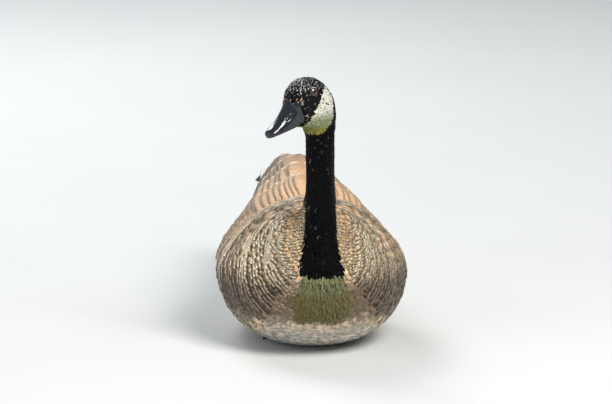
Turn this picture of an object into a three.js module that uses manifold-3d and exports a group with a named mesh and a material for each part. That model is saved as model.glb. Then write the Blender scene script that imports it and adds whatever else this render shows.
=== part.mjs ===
// A Canada goose at life size, in the pose of a bird afloat, set down on its belly with its feet tucked
// under. Millimetres, +Z up. The bird looks along -Y and its left side is +X. The floor is Z 0, and the
// origin lies on it under the middle of the belly.

import * as THREE from "three";
import { mergeVertices } from "three/addons/utils/BufferGeometryUtils.js";
import Module from "manifold-3d";

const wasm = await Module();
wasm.setup();

const GAP = 0.4; // between two nodes that meet
const VANE_THICK = 0.8; // of a flight feather's vane at its root
const DEGREE = Math.PI / 180;

// The body, neck and head are one closed form without a seam, drawn through sections from the tail's root
// to the bill. Each section lies between a point on the back line and one on the front line, in the bird's
// side view [Y, Z], is widest part of the way up between them, and turns with the neck by its share of
// HEAD_TURN. Roundness is 2 for an ellipse, given for the lower and the upper half.
const HEAD_TURN = 53; // degrees to the bird's right
const NECK_AXIS_Y = -192.5;
const SECTIONS = [
  { name: "tail_root", back: [262, 154], front: [262, 106], half: 36, widest: 0.52, round: [2.2, 1.9] },
  { name: "rump", back: [215, 170], front: [215, 68], half: 53, widest: 0.51, round: [2.2, 1.75] },
  { name: "vent", back: [160, 179], front: [160, 28], half: 70, widest: 0.5, round: [2.2, 1.55] },
  { name: "hip", back: [100, 184], front: [100, 2], half: 96, widest: 0.51, round: [2.2, 1.62] },
  { name: "waist", back: [30, 184.5], front: [30, -4], half: 117, widest: 0.5, round: [2.2, 1.72] },
  { name: "girth", back: [-45, 183.5], front: [-45, -4], half: 122.5, widest: 0.5, round: [2.2, 1.8] },
  { name: "shoulders", back: [-80, 184.5], front: [-100, -1], half: 120, widest: 0.49, round: [2.2, 1.85] },
  { name: "low_breast", back: [-103, 186], front: [-150, 11], half: 110, widest: 0.475, round: [2.15, 1.9],
    turn: 0 },
  { name: "breast", back: [-118, 188], front: [-190, 33], half: 96, widest: 0.45, round: [2.1, 1.95] },
  { name: "full_breast", back: [-127, 190], front: [-217, 60], half: 79, widest: 0.43, round: [2.05, 1.95],
    turn: 0 },
  { name: "high_breast", back: [-133, 193], front: [-232, 86], half: 62, widest: 0.42, round: [2, 1.95] },
  { name: "collar", back: [-137, 196.5], front: [-237.5, 106], half: 46, widest: 0.43, round: [2, 2] },
  { name: "neck_base", back: [-141, 201], front: [-233, 124], half: 34, widest: 0.47, round: [2.05, 2.05] },
  { name: "neck_flare", back: [-148, 209], front: [-226, 147], half: 26, widest: 0.5, round: [2.1, 2.1] },
  { name: "low_neck", back: [-159, 227], front: [-219.5, 181], half: 21.6, widest: 0.5, round: [2.15, 2.15],
    turn: 0.1 },
  { name: "mid_neck", back: [-167, 252], front: [-216, 228], half: 19.7, widest: 0.5, round: [2.15, 2.15],
    turn: 0.4 },
  { name: "high_neck", back: [-171, 280], front: [-214, 270], half: 19.3, widest: 0.5, round: [2.15, 2.15],
    turn: 0.85 },
  { name: "neck_top", back: [-172.5, 297], front: [-213, 293], half: 19.3, widest: 0.5, round: [2.15, 2.15],
    turn: 1 },
  { name: "throat", back: [-172.5, 313], front: [-214.5, 300], half: 19.8, widest: 0.5, round: [2.15, 2.15],
    turn: 1 },
  { name: "nape", back: [-173.5, 330], front: [-217.5, 305], half: 21, widest: 0.5, round: [2.15, 2.15],
    turn: 1 },
  { name: "jowl", back: [-178, 346], front: [-221, 307.5], half: 22, widest: 0.5, round: [2.15, 2.15],
    turn: 1 },
  { name: "cheek", back: [-186, 357], front: [-225, 309], half: 22.2, widest: 0.5, round: [2.15, 2.15],
    turn: 1 },
  { name: "occiput", back: [-196.5, 366.5], front: [-228, 309.6], half: 21.8, widest: 0.52,
    round: [2.15, 2.15], turn: 1 },
  { name: "crown", back: [-210, 372], front: [-230.5, 310.1], half: 21, widest: 0.52, round: [2.15, 2.15],
    turn: 1 },
  { name: "brow", back: [-226, 371.8], front: [-232.5, 310.5], half: 20.8, widest: 0.5, round: [2.15, 2.2],
    turn: 1 },
  { name: "forehead", back: [-238.5, 365], front: [-234, 310.9], half: 19, widest: 0.48, round: [2.15, 2.3],
    turn: 1 },
  { name: "lores", back: [-245.3, 353.5], front: [-235.2, 311.2], half: 16.6, widest: 0.46,
    round: [2.2, 2.45], turn: 1 },
  { name: "bill_base", back: [-249.4, 342.2], front: [-236, 311.5], half: 14.2, widest: 0.45,
    round: [2.3, 2.7], turn: 1 },
];
const NECK_CUT = { point: [0, -238, 120], slope: 43 }; // the plane that parts neck from body, in degrees
const HEAD_CUT_Z = 296;

// The surface that the folded wing's feathers follow, over the body and on past it above the tail.
const BREAST_Y = -238;
const WIDEST_Y = -45;
const SHOULDER_SLOPE = 0.35; // how much less the back falls towards the breast than an ellipsoid's would
const SHEATH_STATIONS = [
  { name: "widest", y: WIDEST_Y, half: 117, top: 184, wide: 88, round: 1.66 },
  { name: "waist", y: 30, half: 111, top: 186, wide: 89, round: 1.56 },
  { name: "hip", y: 100, half: 91, top: 192, wide: 94, round: 1.5 },
  { name: "arch", y: 150, half: 71, top: 193, wide: 106, round: 1.62 },
  { name: "rump", y: 200, half: 58, top: 186, wide: 119, round: 1.75 },
  { name: "tail_root", y: 260, half: 48, top: 179, wide: 132, round: 1.85 },
  { name: "tail", y: 320, half: 37, top: 173, wide: 142, round: 1.85 },
  { name: "tail_tip", y: 380, half: 27, top: 168, wide: 149, round: 1.85 },
];

// Points on the head are given from the middle between the eyes, along the way it faces and up.
const BETWEEN_EYES = [-219, 351];
const EYE = { radius: 8, lateral: 13.4, high: 4.5, forwardTurn: 18 };
const LID = { radius: 6.5, thick: 1.5, rise: 0.6 };

// The bill: culmen and tomium are the top line and the cutting edge of the upper half.
const UPPER_BILL_STATIONS = [
  { name: "base", back: [30.9, -9], front: [22.4, -28.8], half: 13.2 },
  { name: "nostril_rear", back: [36, -16.5], front: [28.5, -34.4], half: 12.6 },
  { name: "nostril_front", back: [42.5, -24.5], front: [36, -37.4], half: 11.7 },
  { name: "middle", back: [50, -32], front: [44.5, -40.4], half: 10.9 },
  { name: "spoon", back: [57, -37.6], front: [53, -43.5], half: 10.2 },
  { name: "nail", back: [62.3, -41.8], front: [60, -46.3], half: 8.4 },
  { name: "tip", back: [65, -44.8], front: [64, -48.3], half: 3.8 },
];
const LOWER_BILL_STATIONS = [
  { name: "base", back: [21.6, -31.4], front: [18.1, -38.8], half: 11.3 },
  { name: "rear", back: [28.5, -35], front: [27, -42.6], half: 10.9 },
  { name: "middle", back: [36, -38], front: [35.5, -45.1], half: 10.2 },
  { name: "fore", back: [45, -41.3], front: [45, -47.2], half: 9.5 },
  { name: "spoon", back: [53.5, -44.4], front: [53.5, -49], half: 8.8 },
  { name: "nail", back: [59.5, -46.7], front: [60, -50.2], half: 7 },
  { name: "tip", back: [63.3, -48.5], front: [63.2, -50], half: 2.8 },
];
const GAPE = { from: [22, -30.2], to: [12, -31], high: 0.45, deep: 2 }; // the corner of the mouth
const NOSTRIL = { at: [36.5, -26], lateral: 11.2, long: 9, high: 3.5, deep: 5, along: [0.78, -0.62] };
const NAIL = { at: [60.4, -42.4], long: 12, wide: 10.5, high: 6.2, along: [0.8, -0.6] };

// One folded wing, by body station along Y and by angle up from the side (90 is the middle of the back).
const WING_DEPTH = 9; // how far its inner face lies under the sheath
const WING_OUTLINE = [
  { y: -120, low: 42, high: 58, lift: 1 },
  { y: -112, low: 33, high: 65, lift: 2 },
  { y: -92, low: 20.5, high: 74, lift: 3.2 },
  { y: -60, low: 10, high: 81, lift: 4.5 },
  { y: -15, low: 4, high: 86, lift: 5.5 },
  { y: 40, low: 3, high: 86.5, lift: 5 },
  { y: 90, low: 3, high: 86.5, lift: 3.5 },
  { y: 125, low: 8, high: 86, lift: 2 },
  { y: 152, low: 21, high: 84, lift: 0.5 },
];
// Each tier of vanes runs from its lowest feather to the highest on the back. Roots and tips are
// [Y, angle] of the first and the last one, and lift is the height above the sheath at root and tip.
const WING_TIERS = [
  { name: "primaries", count: 5, roots: [[128, 34], [140, 60]], tips: [[318, 40], [368, 66]],
    wide: 20, lift: [-2, 1.6], tilt: 0.8, stack: 1.9, rows: 5, point: 0.25 },
  { name: "secondaries", count: 6, roots: [[62, 12], [100, 48]], tips: [[176, 17], [246, 50]],
    wide: 26, lift: [0.8, 6.4], tilt: 1.7, stack: 0, rows: 5, point: 0.45 },
  { name: "tertials", count: 3, roots: [[70, 60], [88, 80]], tips: [[228, 60], [262, 77]],
    wide: 36, lift: [0.8, 9], tilt: 1, stack: 1.8, rows: 5, point: 0.5 },
  { name: "greater_coverts", count: 7, roots: [[-22, 12], [34, 54]], tips: [[78, 12], [128, 53]],
    wide: 25, lift: [1.6, 8.6], tilt: 1.6, stack: 0, rows: 4, point: 0.5 },
  { name: "median_coverts", count: 7, roots: [[-76, 21], [-28, 60]], tips: [[8, 13], [50, 56]],
    wide: 25, lift: [1.2, 10.6], tilt: 1.6, stack: 0, rows: 4, point: 0.5 },
  { name: "long_scapulars", count: 3, roots: [[20, 63], [30, 80]], tips: [[142, 61], [166, 79]],
    wide: 34, lift: [1.6, 13.2], tilt: 1.2, stack: 1.2, rows: 4, point: 0.5 },
  { name: "short_scapulars", count: 3, roots: [[-48, 63], [-40, 79]], tips: [[66, 65], [84, 79]],
    wide: 34, lift: [1.8, 15.4], tilt: 1.2, stack: 0.8, rows: 4, point: 0.55 },
];

// The tail: its fleshy root, its feathers on each side and the rows of coverts over and under them.
// first is the innermost feather's root on the left side, and step is the way to the next one's.
const TAIL = { rootY: 262, feathers: 6, length: 98, spread: 12, wide: 25, pitch: 1.5 };
const TAIL_CORE = [
  { back: [286, 151], front: [286, 124], half: 35, widest: 0.55, round: [2.1, 2] },
  { back: [312, 149], front: [312, 138], half: 33, widest: 0.5, round: [2.1, 2.1] },
];
const TAIL_FIRST = { x: 2, y: 284, z: 145.5, apart: 3.6, slope: 0.07 };
const TAIL_COVERTS = [
  { name: "upper", count: 3, first: [5.5, 268, 150.5], step: [11, 0, -2.6], reach: [3, 64, 1.5],
    shrink: [0, 3, 0], wide: 17, bow: -1 },
  { name: "under", count: 2, first: [8, 276, 122], step: [14, 0, 3.4], reach: [2, 72, 6],
    shrink: [0, 4, 2], wide: 20, bow: 1.2 },
];

const FOOT = { ankle: [49, 12], toeHigh: 7, webThick: 1.8, room: 10 };
// Each toe's turn outwards in degrees and its length, the inner one first
const TOES = [{ turn: -13, long: 63 }, { turn: -1, long: 84 }, { turn: 11, long: 77 }];
const LEG = { hock: [46, 96], stubTop: 21.6, room: 13.2 };

// Colours and finishes
const finish = (hex, roughness) => new THREE.MeshStandardMaterial({ color: hex, roughness, metalness: 0 });
const buffPlumage = finish(0xb59a7c, 0.85);
const wingPlumage = finish(0x8d7560, 0.8);
const blackPlumage = finish(0x15151a, 0.75);
const blackHorn = finish(0x101216, 0.35);
const eyeGloss = finish(0x1d0f08, 0.08);
const footSkin = finish(0x2b2a2a, 0.6);

// A smooth curve through [x, y] pairs: cubic pieces whose slopes are those between the neighbours.
function through(pairs) {
  const last = pairs.length - 1;
  const slope = pairs.map((_, i) => {
    const [a, b] = [pairs[Math.max(i - 1, 0)], pairs[Math.min(i + 1, last)]];
    return (b[1] - a[1]) / (b[0] - a[0]);
  });
  return (x) => {
    if (x <= pairs[0][0]) return pairs[0][1] + slope[0] * (x - pairs[0][0]);
    if (x >= pairs[last][0]) return pairs[last][1] + slope[last] * (x - pairs[last][0]);
    const i = pairs.findIndex((p, k) => k < last && x <= pairs[k + 1][0]);
    const [[x0, y0], [x1, y1]] = [pairs[i], pairs[i + 1]];
    const span = x1 - x0;
    const t = (x - x0) / span;
    const rise = (1 + 2 * t) * (1 - t) ** 2 * y0 + t * t * (3 - 2 * t) * y1;
    return rise + span * (t * (1 - t) ** 2 * slope[i] - t * t * (1 - t) * slope[i + 1]);
  };
}

const curveOf = (stations, read) => through(stations.map((s) => [s.y, read(s)]));
const curveByIndex = (stations, read) => through(stations.map((s, i) => [i, read(s)]));
const bend = (value, exponent) => Math.sign(value) * Math.abs(value) ** (2 / exponent);
const mix = (a, b, t) => a + (b - a) * t;

// The sheath at y and at an angle up from the bird's left side, where 90 is the middle of the back
const sheathHalf = curveOf(SHEATH_STATIONS, (s) => s.half);
const sheathTop = curveOf(SHEATH_STATIONS, (s) => s.top);
const sheathWide = curveOf(SHEATH_STATIONS, (s) => s.wide);
const sheathRound = curveOf(SHEATH_STATIONS, (s) => s.round);
function sheathPoint(y, angle) {
  const reach = Math.max(y, WIDEST_Y);
  const forward = Math.min(1, Math.max(0, (WIDEST_Y - y) / (WIDEST_Y - BREAST_Y)));
  const across = sheathHalf(reach) * Math.sqrt(1 - forward ** 2);
  const middle = sheathWide(reach);
  const rise = (sheathTop(reach) - middle) * Math.sqrt(1 - SHOULDER_SLOPE * forward ** 2);
  const [c, s] = [Math.cos(angle * DEGREE), Math.sin(angle * DEGREE)];
  const roundness = sheathRound(reach);
  const upward = rise * bend(s, s > 0 ? roundness : 2.2);
  return new THREE.Vector3(across * bend(c, roundness), y, middle + upward);
}

// The sheath's outward normal, from two short steps on it
function sheathNormal(y, angle) {
  const alongY = sheathPoint(y + 1, angle).sub(sheathPoint(y - 1, angle));
  const around = sheathPoint(y, angle + 0.5).sub(sheathPoint(y, angle - 0.5));
  return alongY.cross(around).normalize();
}

// A closed geometry from points and triangles, with its faces turned outwards.
function closed(points, triangles) {
  let volume = 0;
  for (const [a, b, c] of triangles)
    volume += points[a].dot(new THREE.Vector3().crossVectors(points[b], points[c]));
  const outwards = volume < 0 ? triangles.map(([a, b, c]) => [a, c, b]) : triangles;
  const geometry = new THREE.BufferGeometry();
  const places = points.flatMap((p) => p.toArray());
  geometry.setAttribute("position", new THREE.Float32BufferAttribute(places, 3));
  geometry.setIndex(outwards.flat());
  return geometry;
}

// A solid through rings of points. Each end is closed by a fan about its middle.
function loft(rings) {
  const count = rings[0].length;
  const points = rings.flat();
  const triangles = [];
  for (let r = 0; r + 1 < rings.length; r++)
    for (let i = 0; i < count; i++) {
      const [a, b] = [r * count + i, r * count + ((i + 1) % count)];
      triangles.push([a, b, b + count], [a, b + count, a + count]);
    }
  for (const [first, flip] of [[0, true], [(rings.length - 1) * count, false]]) {
    const ring = points.slice(first, first + count);
    const middle = ring.reduce((sum, p) => sum.add(p), new THREE.Vector3()).divideScalar(count);
    points.push(middle);
    for (let i = 0; i < count; i++) {
      const [a, b] = [first + i, first + ((i + 1) % count)];
      triangles.push(flip ? [points.length - 1, b, a] : [points.length - 1, a, b]);
    }
  }
  return closed(points, triangles);
}

// A solid between two like grids of points, with the same diagonals on both, closed round its rim.
function slab(outer, inner) {
  const [rows, columns] = [outer.length, outer[0].length];
  const points = [...outer.flat(), ...inner.flat()];
  const at = (face, r, c) => face * rows * columns + r * columns + c;
  const triangles = [];
  for (let r = 0; r + 1 < rows; r++)
    for (let c = 0; c + 1 < columns; c++)
      for (const face of [0, 1]) {
        const corners = [at(face, r, c), at(face, r, c + 1), at(face, r + 1, c + 1), at(face, r + 1, c)];
        const [p, q, s, t] = face ? [corners[0], corners[3], corners[2], corners[1]] : corners;
        triangles.push([p, q, s], [p, s, t]);
      }
  const rim = [];
  for (let c = 0; c < columns - 1; c++) rim.push([0, c]);
  for (let r = 0; r < rows - 1; r++) rim.push([r, columns - 1]);
  for (let c = columns - 1; c > 0; c--) rim.push([rows - 1, c]);
  for (let r = rows - 1; r > 0; r--) rim.push([r, 0]);
  rim.forEach(([r, c], i) => {
    const [nextR, nextC] = rim[(i + 1) % rim.length];
    const [a, b] = [at(0, r, c), at(0, nextR, nextC)];
    const [d, e] = [at(1, r, c), at(1, nextR, nextC)];
    triangles.push([b, a, d], [b, d, e]);
  });
  return closed(points, triangles);
}

// From a three.js geometry to a solid that can be joined and cut, and back.
function solidOf(geometry) {
  const bare = geometry.index ? geometry.clone() : mergeVertices(geometry);
  for (const name of Object.keys(bare.attributes)) if (name !== "position") bare.deleteAttribute(name);
  const merged = mergeVertices(bare, 1e-4);
  const kept = [];
  const index = merged.index.array;
  for (let i = 0; i < index.length; i += 3) {
    const [a, b, c] = [index[i], index[i + 1], index[i + 2]];
    if (a !== b && b !== c && c !== a) kept.push(a, b, c);
  }
  return new wasm.Manifold(new wasm.Mesh({
    numProp: 3,
    vertProperties: new Float32Array(merged.attributes.position.array),
    triVerts: new Uint32Array(kept),
  }));
}

// The largest closed surface of a solid, without the slivers that joining leaves.
function largest(solid) {
  const parts = solid.simplify(0.01).decompose();
  return parts.reduce((best, part) => (part.volume() > best.volume() ? part : best));
}

function meshOf(name, solid, material) {
  const kept = largest(solid).getMesh();
  const points = new Float32Array(kept.numVert * 3);
  for (let i = 0; i < kept.numVert; i++)
    points.set(kept.vertProperties.subarray(i * kept.numProp, i * kept.numProp + 3), i * 3);
  const geometry = new THREE.BufferGeometry();
  geometry.setAttribute("position", new THREE.BufferAttribute(points, 3));
  geometry.setIndex(new THREE.BufferAttribute(new Uint32Array(kept.triVerts), 1));
  geometry.computeVertexNormals();
  const mesh = new THREE.Mesh(geometry, material);
  mesh.name = name;
  return mesh;
}

const joined = (solids) => wasm.Manifold.union(solids);
const steps = (count) => Array.from({ length: count + 1 }, (_, i) => i / count);

// An ellipsoid with its own three axes, given as vectors whose lengths are its half sizes.
function ellipsoid(centre, axes, segments = 16) {
  const geometry = new THREE.SphereGeometry(1, segments, Math.round(segments * 0.6));
  const matrix = new THREE.Matrix4().makeBasis(...axes).setPosition(centre);
  return solidOf(geometry.applyMatrix4(matrix));
}

// Everything on the far side of a plane from the tip of its normal, as one big block to cut with.
function blockUnder(point, normal, drop = 0) {
  const size = 900;
  const block = new THREE.BoxGeometry(size, size, size).translate(0, 0, -size / 2 - drop);
  const turn = new THREE.Quaternion().setFromUnitVectors(new THREE.Vector3(0, 0, 1), normal);
  return solidOf(block.applyQuaternion(turn).translate(point.x, point.y, point.z));
}

// A ring of points between a section's back and front points, placed in the world by a view. A part of
// the way round gives the upper or the under half alone, for the two halves of the bill.
function sectionRing(section, view, count, halfOnly) {
  const back = view.place(section.back);
  const front = view.place(section.front);
  const centre = { over: front, under: back }[halfOnly] ?? front.clone().lerp(back, section.widest ?? 0.5);
  const [lower, upper] = section.round ?? [2.15, 2.15];
  const sweep = halfOnly ? Math.PI : 2 * Math.PI;
  return steps(halfOnly ? count - 1 : count).slice(halfOnly ? 0 : 1).map((share) => {
    const angle = halfOnly === "under" ? -sweep * share : sweep * share;
    const [c, s] = [Math.cos(angle), Math.sin(angle)];
    const roundness = s > 0 ? upper : lower;
    return centre.clone().lerp(s > 0 ? back : front, Math.abs(s) ** (2 / roundness))
      .addScaledVector(view.side, section.half * bend(c, roundness));
  });
}

// Rings through named sections, with more between them. viewOf gives a section's place in the world.
function ringsThrough(sections, perSpan, viewOf, count, halfOnly) {
  const read = (pick) => curveByIndex(sections, pick);
  const curves = {
    back: [read((s) => s.back[0]), read((s) => s.back[1])],
    front: [read((s) => s.front[0]), read((s) => s.front[1])],
    round: [read((s) => s.round?.[0] ?? 2.15), read((s) => s.round?.[1] ?? 2.15)],
    half: read((s) => s.half),
    widest: read((s) => s.widest ?? 0.5),
    turn: read((s) => s.turn ?? 0),
  };
  return steps((sections.length - 1) * perSpan).map((share) => {
    const t = share * (sections.length - 1);
    const at = (curve) => Array.isArray(curve) ? curve.map((f) => f(t)) : curve(t);
    const section = Object.fromEntries(Object.entries(curves).map(([key, curve]) => [key, at(curve)]));
    return sectionRing(section, viewOf(section), count, halfOnly);
  });
}

// The bird's side view, turned about the neck's upright axis by a share of the head's turn
function bodyView({ turn }) {
  const angle = turn * HEAD_TURN * DEGREE;
  const forward = new THREE.Vector3(-Math.sin(angle), -Math.cos(angle), 0);
  return {
    side: new THREE.Vector3(Math.cos(angle), -Math.sin(angle), 0),
    place: ([y, z]) => new THREE.Vector3(0, NECK_AXIS_Y, z).addScaledVector(forward, NECK_AXIS_Y - y),
  };
}

// The head's own directions in the world
const up = new THREE.Vector3(0, 0, 1);
const { side: headSide, place: placeTurned } = bodyView({ turn: 1 });
const facing = up.clone().cross(headSide).negate();
const betweenEyes = placeTurned(BETWEEN_EYES);
const headView = {
  side: headSide,
  place: ([along, high]) => betweenEyes.clone().addScaledVector(facing, along).addScaledVector(up, high),
};

const headDirection = ([ahead, high]) =>
  facing.clone().multiplyScalar(ahead).addScaledVector(up, high).normalize();

function fleshSolid() {
  return solidOf(loft(ringsThrough(SECTIONS, 2, bodyView, 28)));
}

// The eye's centre and the direction that it looks in, for side 1 (left) or -1 (right)
function eyeFrame(side) {
  const turn = EYE.forwardTurn * DEGREE;
  const look = headSide.clone().multiplyScalar(side * Math.cos(turn))
    .addScaledVector(facing, Math.sin(turn));
  const centre = headView.place([0, EYE.high]).addScaledVector(headSide, side * EYE.lateral);
  return { look, centre };
}

function eyeSolid(side, grown = 0) {
  const { look, centre } = eyeFrame(side);
  const radius = EYE.radius + grown;
  const across = new THREE.Vector3().crossVectors(up, look).normalize();
  return ellipsoid(centre, [across, up, look].map((axis) => axis.clone().multiplyScalar(radius)), 14);
}

// The eyelids, one ring round the open part of the eye
function lidSolid(side) {
  const { look, centre } = eyeFrame(side);
  const rise = Math.sqrt(EYE.radius ** 2 - LID.radius ** 2) + LID.rise;
  const ring = new THREE.TorusGeometry(LID.radius, LID.thick, 6, 16);
  const turn = new THREE.Quaternion().setFromUnitVectors(new THREE.Vector3(0, 0, 1), look);
  const place = centre.clone().addScaledVector(look, rise);
  return solidOf(ring.applyQuaternion(turn).translate(place.x, place.y, place.z));
}

// The corner of the mouth, a short groove back into the cheek on each side
function gapeCut() {
  const [from, to] = [headView.place(GAPE.from), headView.place(GAPE.to)];
  const along = to.clone().sub(from);
  const side = headSide.clone().multiplyScalar(30);
  const high = new THREE.Vector3().crossVectors(along, side).normalize().multiplyScalar(GAPE.high);
  const middle = from.clone().add(to).multiplyScalar(0.5);
  return ellipsoid(middle, [along.multiplyScalar(0.6), side, high], 12);
}

function headNode(flesh) {
  const above = flesh.trimByPlane([0, 0, 1], HEAD_CUT_Z + GAP / 2);
  const inside = SECTIONS.filter((s) => s.turn === 1).map((s) => ({ ...s, half: s.half - GAPE.deep }));
  const core = solidOf(loft(ringsThrough(inside, 1, bodyView, 16)));
  return joined([above, lidSolid(1), lidSolid(-1)])
    .subtract(joined([eyeSolid(1, GAP), eyeSolid(-1, GAP), gapeCut().subtract(core)]));
}

function nostril(side) {
  const middle = headView.place(NOSTRIL.at);
  const along = headDirection(NOSTRIL.along);
  const across = headSide.clone();
  const high = new THREE.Vector3().crossVectors(along, across).normalize();
  middle.addScaledVector(headSide, side * NOSTRIL.lateral);
  return ellipsoid(middle, [
    along.multiplyScalar(NOSTRIL.long / 2),
    across.multiplyScalar(NOSTRIL.deep),
    high.multiplyScalar(NOSTRIL.high / 2),
  ], 12);
}

function upperBill() {
  const horn = solidOf(loft(ringsThrough(UPPER_BILL_STATIONS, 2, () => headView, 15, "over")));
  const along = headDirection(NAIL.along);
  const high = new THREE.Vector3().crossVectors(along, headSide).normalize();
  const nail = ellipsoid(headView.place(NAIL.at), [
    along.multiplyScalar(NAIL.long / 2), headSide.clone().multiplyScalar(NAIL.wide / 2),
    high.multiplyScalar(NAIL.high / 2),
  ], 14);
  return joined([horn, nail]).subtract(joined([nostril(1), nostril(-1), lowerBill(GAP)]));
}

function lowerBill(grown = 0) {
  const stations = LOWER_BILL_STATIONS.map((s) => ({
    ...s, back: [s.back[0], s.back[1] + grown], half: s.half + grown,
  }));
  return solidOf(loft(ringsThrough(stations, 2, () => headView, 13, "under")));
}

// The wing's bulk between its inner face and its feathers' roots. Grown by GAP it is the recess for it.
function wingCore(side, grown) {
  const pick = (key) => through(WING_OUTLINE.map((o) => [o.y, o[key]]));
  const [low, high, lift] = [pick("low"), pick("high"), pick("lift")];
  const [firstY, lastY] = [WING_OUTLINE[0].y, WING_OUTLINE.at(-1).y];
  const widen = grown ? 0.6 : 0; // degrees
  const face = (depth) => steps(10).map((t) => {
    const y = mix(firstY, lastY, t ** 1.3);
    const shown = mix(firstY - grown, lastY + grown, t ** 1.3);
    return steps(7).map((v) => {
      const angle = mix(low(y) - widen, high(y) + widen, v);
      const point = sheathPoint(shown, angle).addScaledVector(sheathNormal(shown, angle), depth(y));
      return point.setX(point.x * side);
    });
  });
  const outer = grown ? () => 40 : (y) => lift(y);
  return solidOf(slab(face(outer), face(() => -WING_DEPTH - grown)));
}

// One feather's vane. place(s, w) gives the point and the normal at s along it and w across it, -1 to 1.
function vane(place, rows, point) {
  const along = rows === 5 ? [0, 0.3, 0.62, 0.87, 1] : [0, 0.36, 0.78, 1];
  const shape = rows === 5 ? [0.6, 0.92, 1, 0.8, point] : [0.6, 1, 0.94, point];
  const faces = [0.5, -0.5].map((side) =>
    along.map((s, i) => [-1, 0, 1].map((w) => {
      const here = place(s, w * shape[i]);
      const rounding = i === along.length - 1 ? 1 : 0;
      const thick = VANE_THICK * (1 - 0.4 * s) * (w === 0 || rounding ? 1 : 0.75);
      return here.point.addScaledVector(here.normal, side * thick);
    })));
  return solidOf(slab(faces[0], faces[1]));
}

// All the vanes of one tier of the wing. Each lies over the next one down, like tiles on a roof.
function wingTier(tier, side) {
  const vanes = [];
  for (let i = 0; i < tier.count; i++) {
    const share = i / (tier.count - 1);
    const between = ([from, to]) => [mix(from[0], to[0], share), mix(from[1], to[1], share)];
    const ends = [tier.roots, tier.tips].map(between);
    const wide = tier.wide * (1 + 0.05 * Math.sin(i * 2.4));
    vanes.push(vane((s, w) => {
      const y = mix(ends[0][0], ends[1][0], s);
      const angle = mix(ends[0][1], ends[1][1], s);
      const perDegree = sheathPoint(y, angle + 0.5).distanceTo(sheathPoint(y, angle - 0.5));
      const here = angle + (w * wide) / 2 / perDegree;
      const rise = 1 - (1 - s) ** 2;
      const tilt = w * tier.tilt * Math.min(1, 3 * s);
      const lift = mix(tier.lift[0], tier.lift[1], rise) - tilt + i * tier.stack * s;
      const normal = sheathNormal(y, Math.min(here, 89));
      const point = sheathPoint(y, here).addScaledVector(normal, lift);
      point.x *= side;
      normal.x *= side;
      return { point, normal };
    }, tier.rows, tier.point));
  }
  return vanes;
}

function wingNode(side) {
  const vanes = WING_TIERS.flatMap((tier) => wingTier(tier, side));
  const whole = joined([wingCore(side, 0), ...vanes]);
  return whole.trimByPlane([side, 0, 0], GAP / 2);
}

// A flat feather of the tail, from root to tip in plan, at a level of the stack
function tailVane(root, tip, wide, rise, point) {
  const along = new THREE.Vector3().subVectors(tip, root);
  const across = new THREE.Vector3(along.y, -along.x, 0).normalize();
  const normal = new THREE.Vector3().crossVectors(along, across).normalize();
  if (normal.z < 0) normal.negate();
  return vane((s, w) => ({
    point: root.clone().addScaledVector(along, s).addScaledVector(across, (w * wide) / 2)
      .addScaledVector(normal, rise * w * w),
    normal,
  }), 4, point);
}

function tailNode() {
  const start = TAIL.rootY + GAP;
  const root = SECTIONS[0];
  const core = [
    { ...root, back: [start, root.back[1]], front: [start, root.front[1]] },
    ...TAIL_CORE,
  ];
  const pieces = [solidOf(loft(ringsThrough(core, 2, bodyView, 20)))];
  for (const side of [1, -1]) {
    for (let i = 0; i < TAIL.feathers; i++) {
      const level = -TAIL.pitch * (i + (side > 0 ? 0 : 0.9));
      const turn = (i + 0.45) * (TAIL.spread / TAIL.feathers) * DEGREE * side;
      const long = TAIL.length * (1 - 0.009 * i * i);
      const x = side * (TAIL_FIRST.x + TAIL_FIRST.apart * i);
      const from = new THREE.Vector3(x, TAIL_FIRST.y, TAIL_FIRST.z + level * 0.6);
      const rise = TAIL_FIRST.slope * long + level * 0.4;
      const reach = new THREE.Vector3(Math.sin(turn) * long, Math.cos(turn) * long, rise);
      pieces.push(tailVane(from, from.clone().add(reach), TAIL.wide, -1.2, 0.5));
    }
    for (const row of TAIL_COVERTS)
      for (let i = 0; i < row.count; i++) {
        const [x, y, z] = row.first.map((v, k) => v + i * row.step[k]);
        const [out, back, rise] = row.reach.map((v, k) => v - i * row.shrink[k]);
        const from = new THREE.Vector3(side * x, y, z);
        const to = new THREE.Vector3(side * (x + out), y + back, z + rise);
        pieces.push(tailVane(from, to, row.wide, row.bow, 0.4));
      }
  }
  return joined(pieces);
}

// A toe or a shank: a tube of given heights that lies on the floor, with a flat sole.
function lyingTube(path, sizes, sides = 8) {
  const rings = path.map((p, i) => {
    const next = path[Math.min(i + 1, path.length - 1)];
    const last = path[Math.max(i - 1, 0)];
    const along = new THREE.Vector3(next[0] - last[0], next[1] - last[1], 0).normalize();
    const across = new THREE.Vector3(-along.y, along.x, 0);
    const [wide, high] = sizes[i];
    return steps(sides).slice(1).map((t) => {
      const angle = t * 2 * Math.PI;
      const z = Math.max(0, high * (0.42 + 0.58 * Math.sin(angle)));
      return new THREE.Vector3(p[0], p[1], z).addScaledVector(across, (wide / 2) * Math.cos(angle));
    });
  });
  return solidOf(loft(rings));
}

const toeTip = (toe, share = 1) => [
  FOOT.ankle[0] + Math.sin(toe.turn * DEGREE) * toe.long * share,
  FOOT.ankle[1] - Math.cos(toe.turn * DEGREE) * toe.long * share,
];

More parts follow.
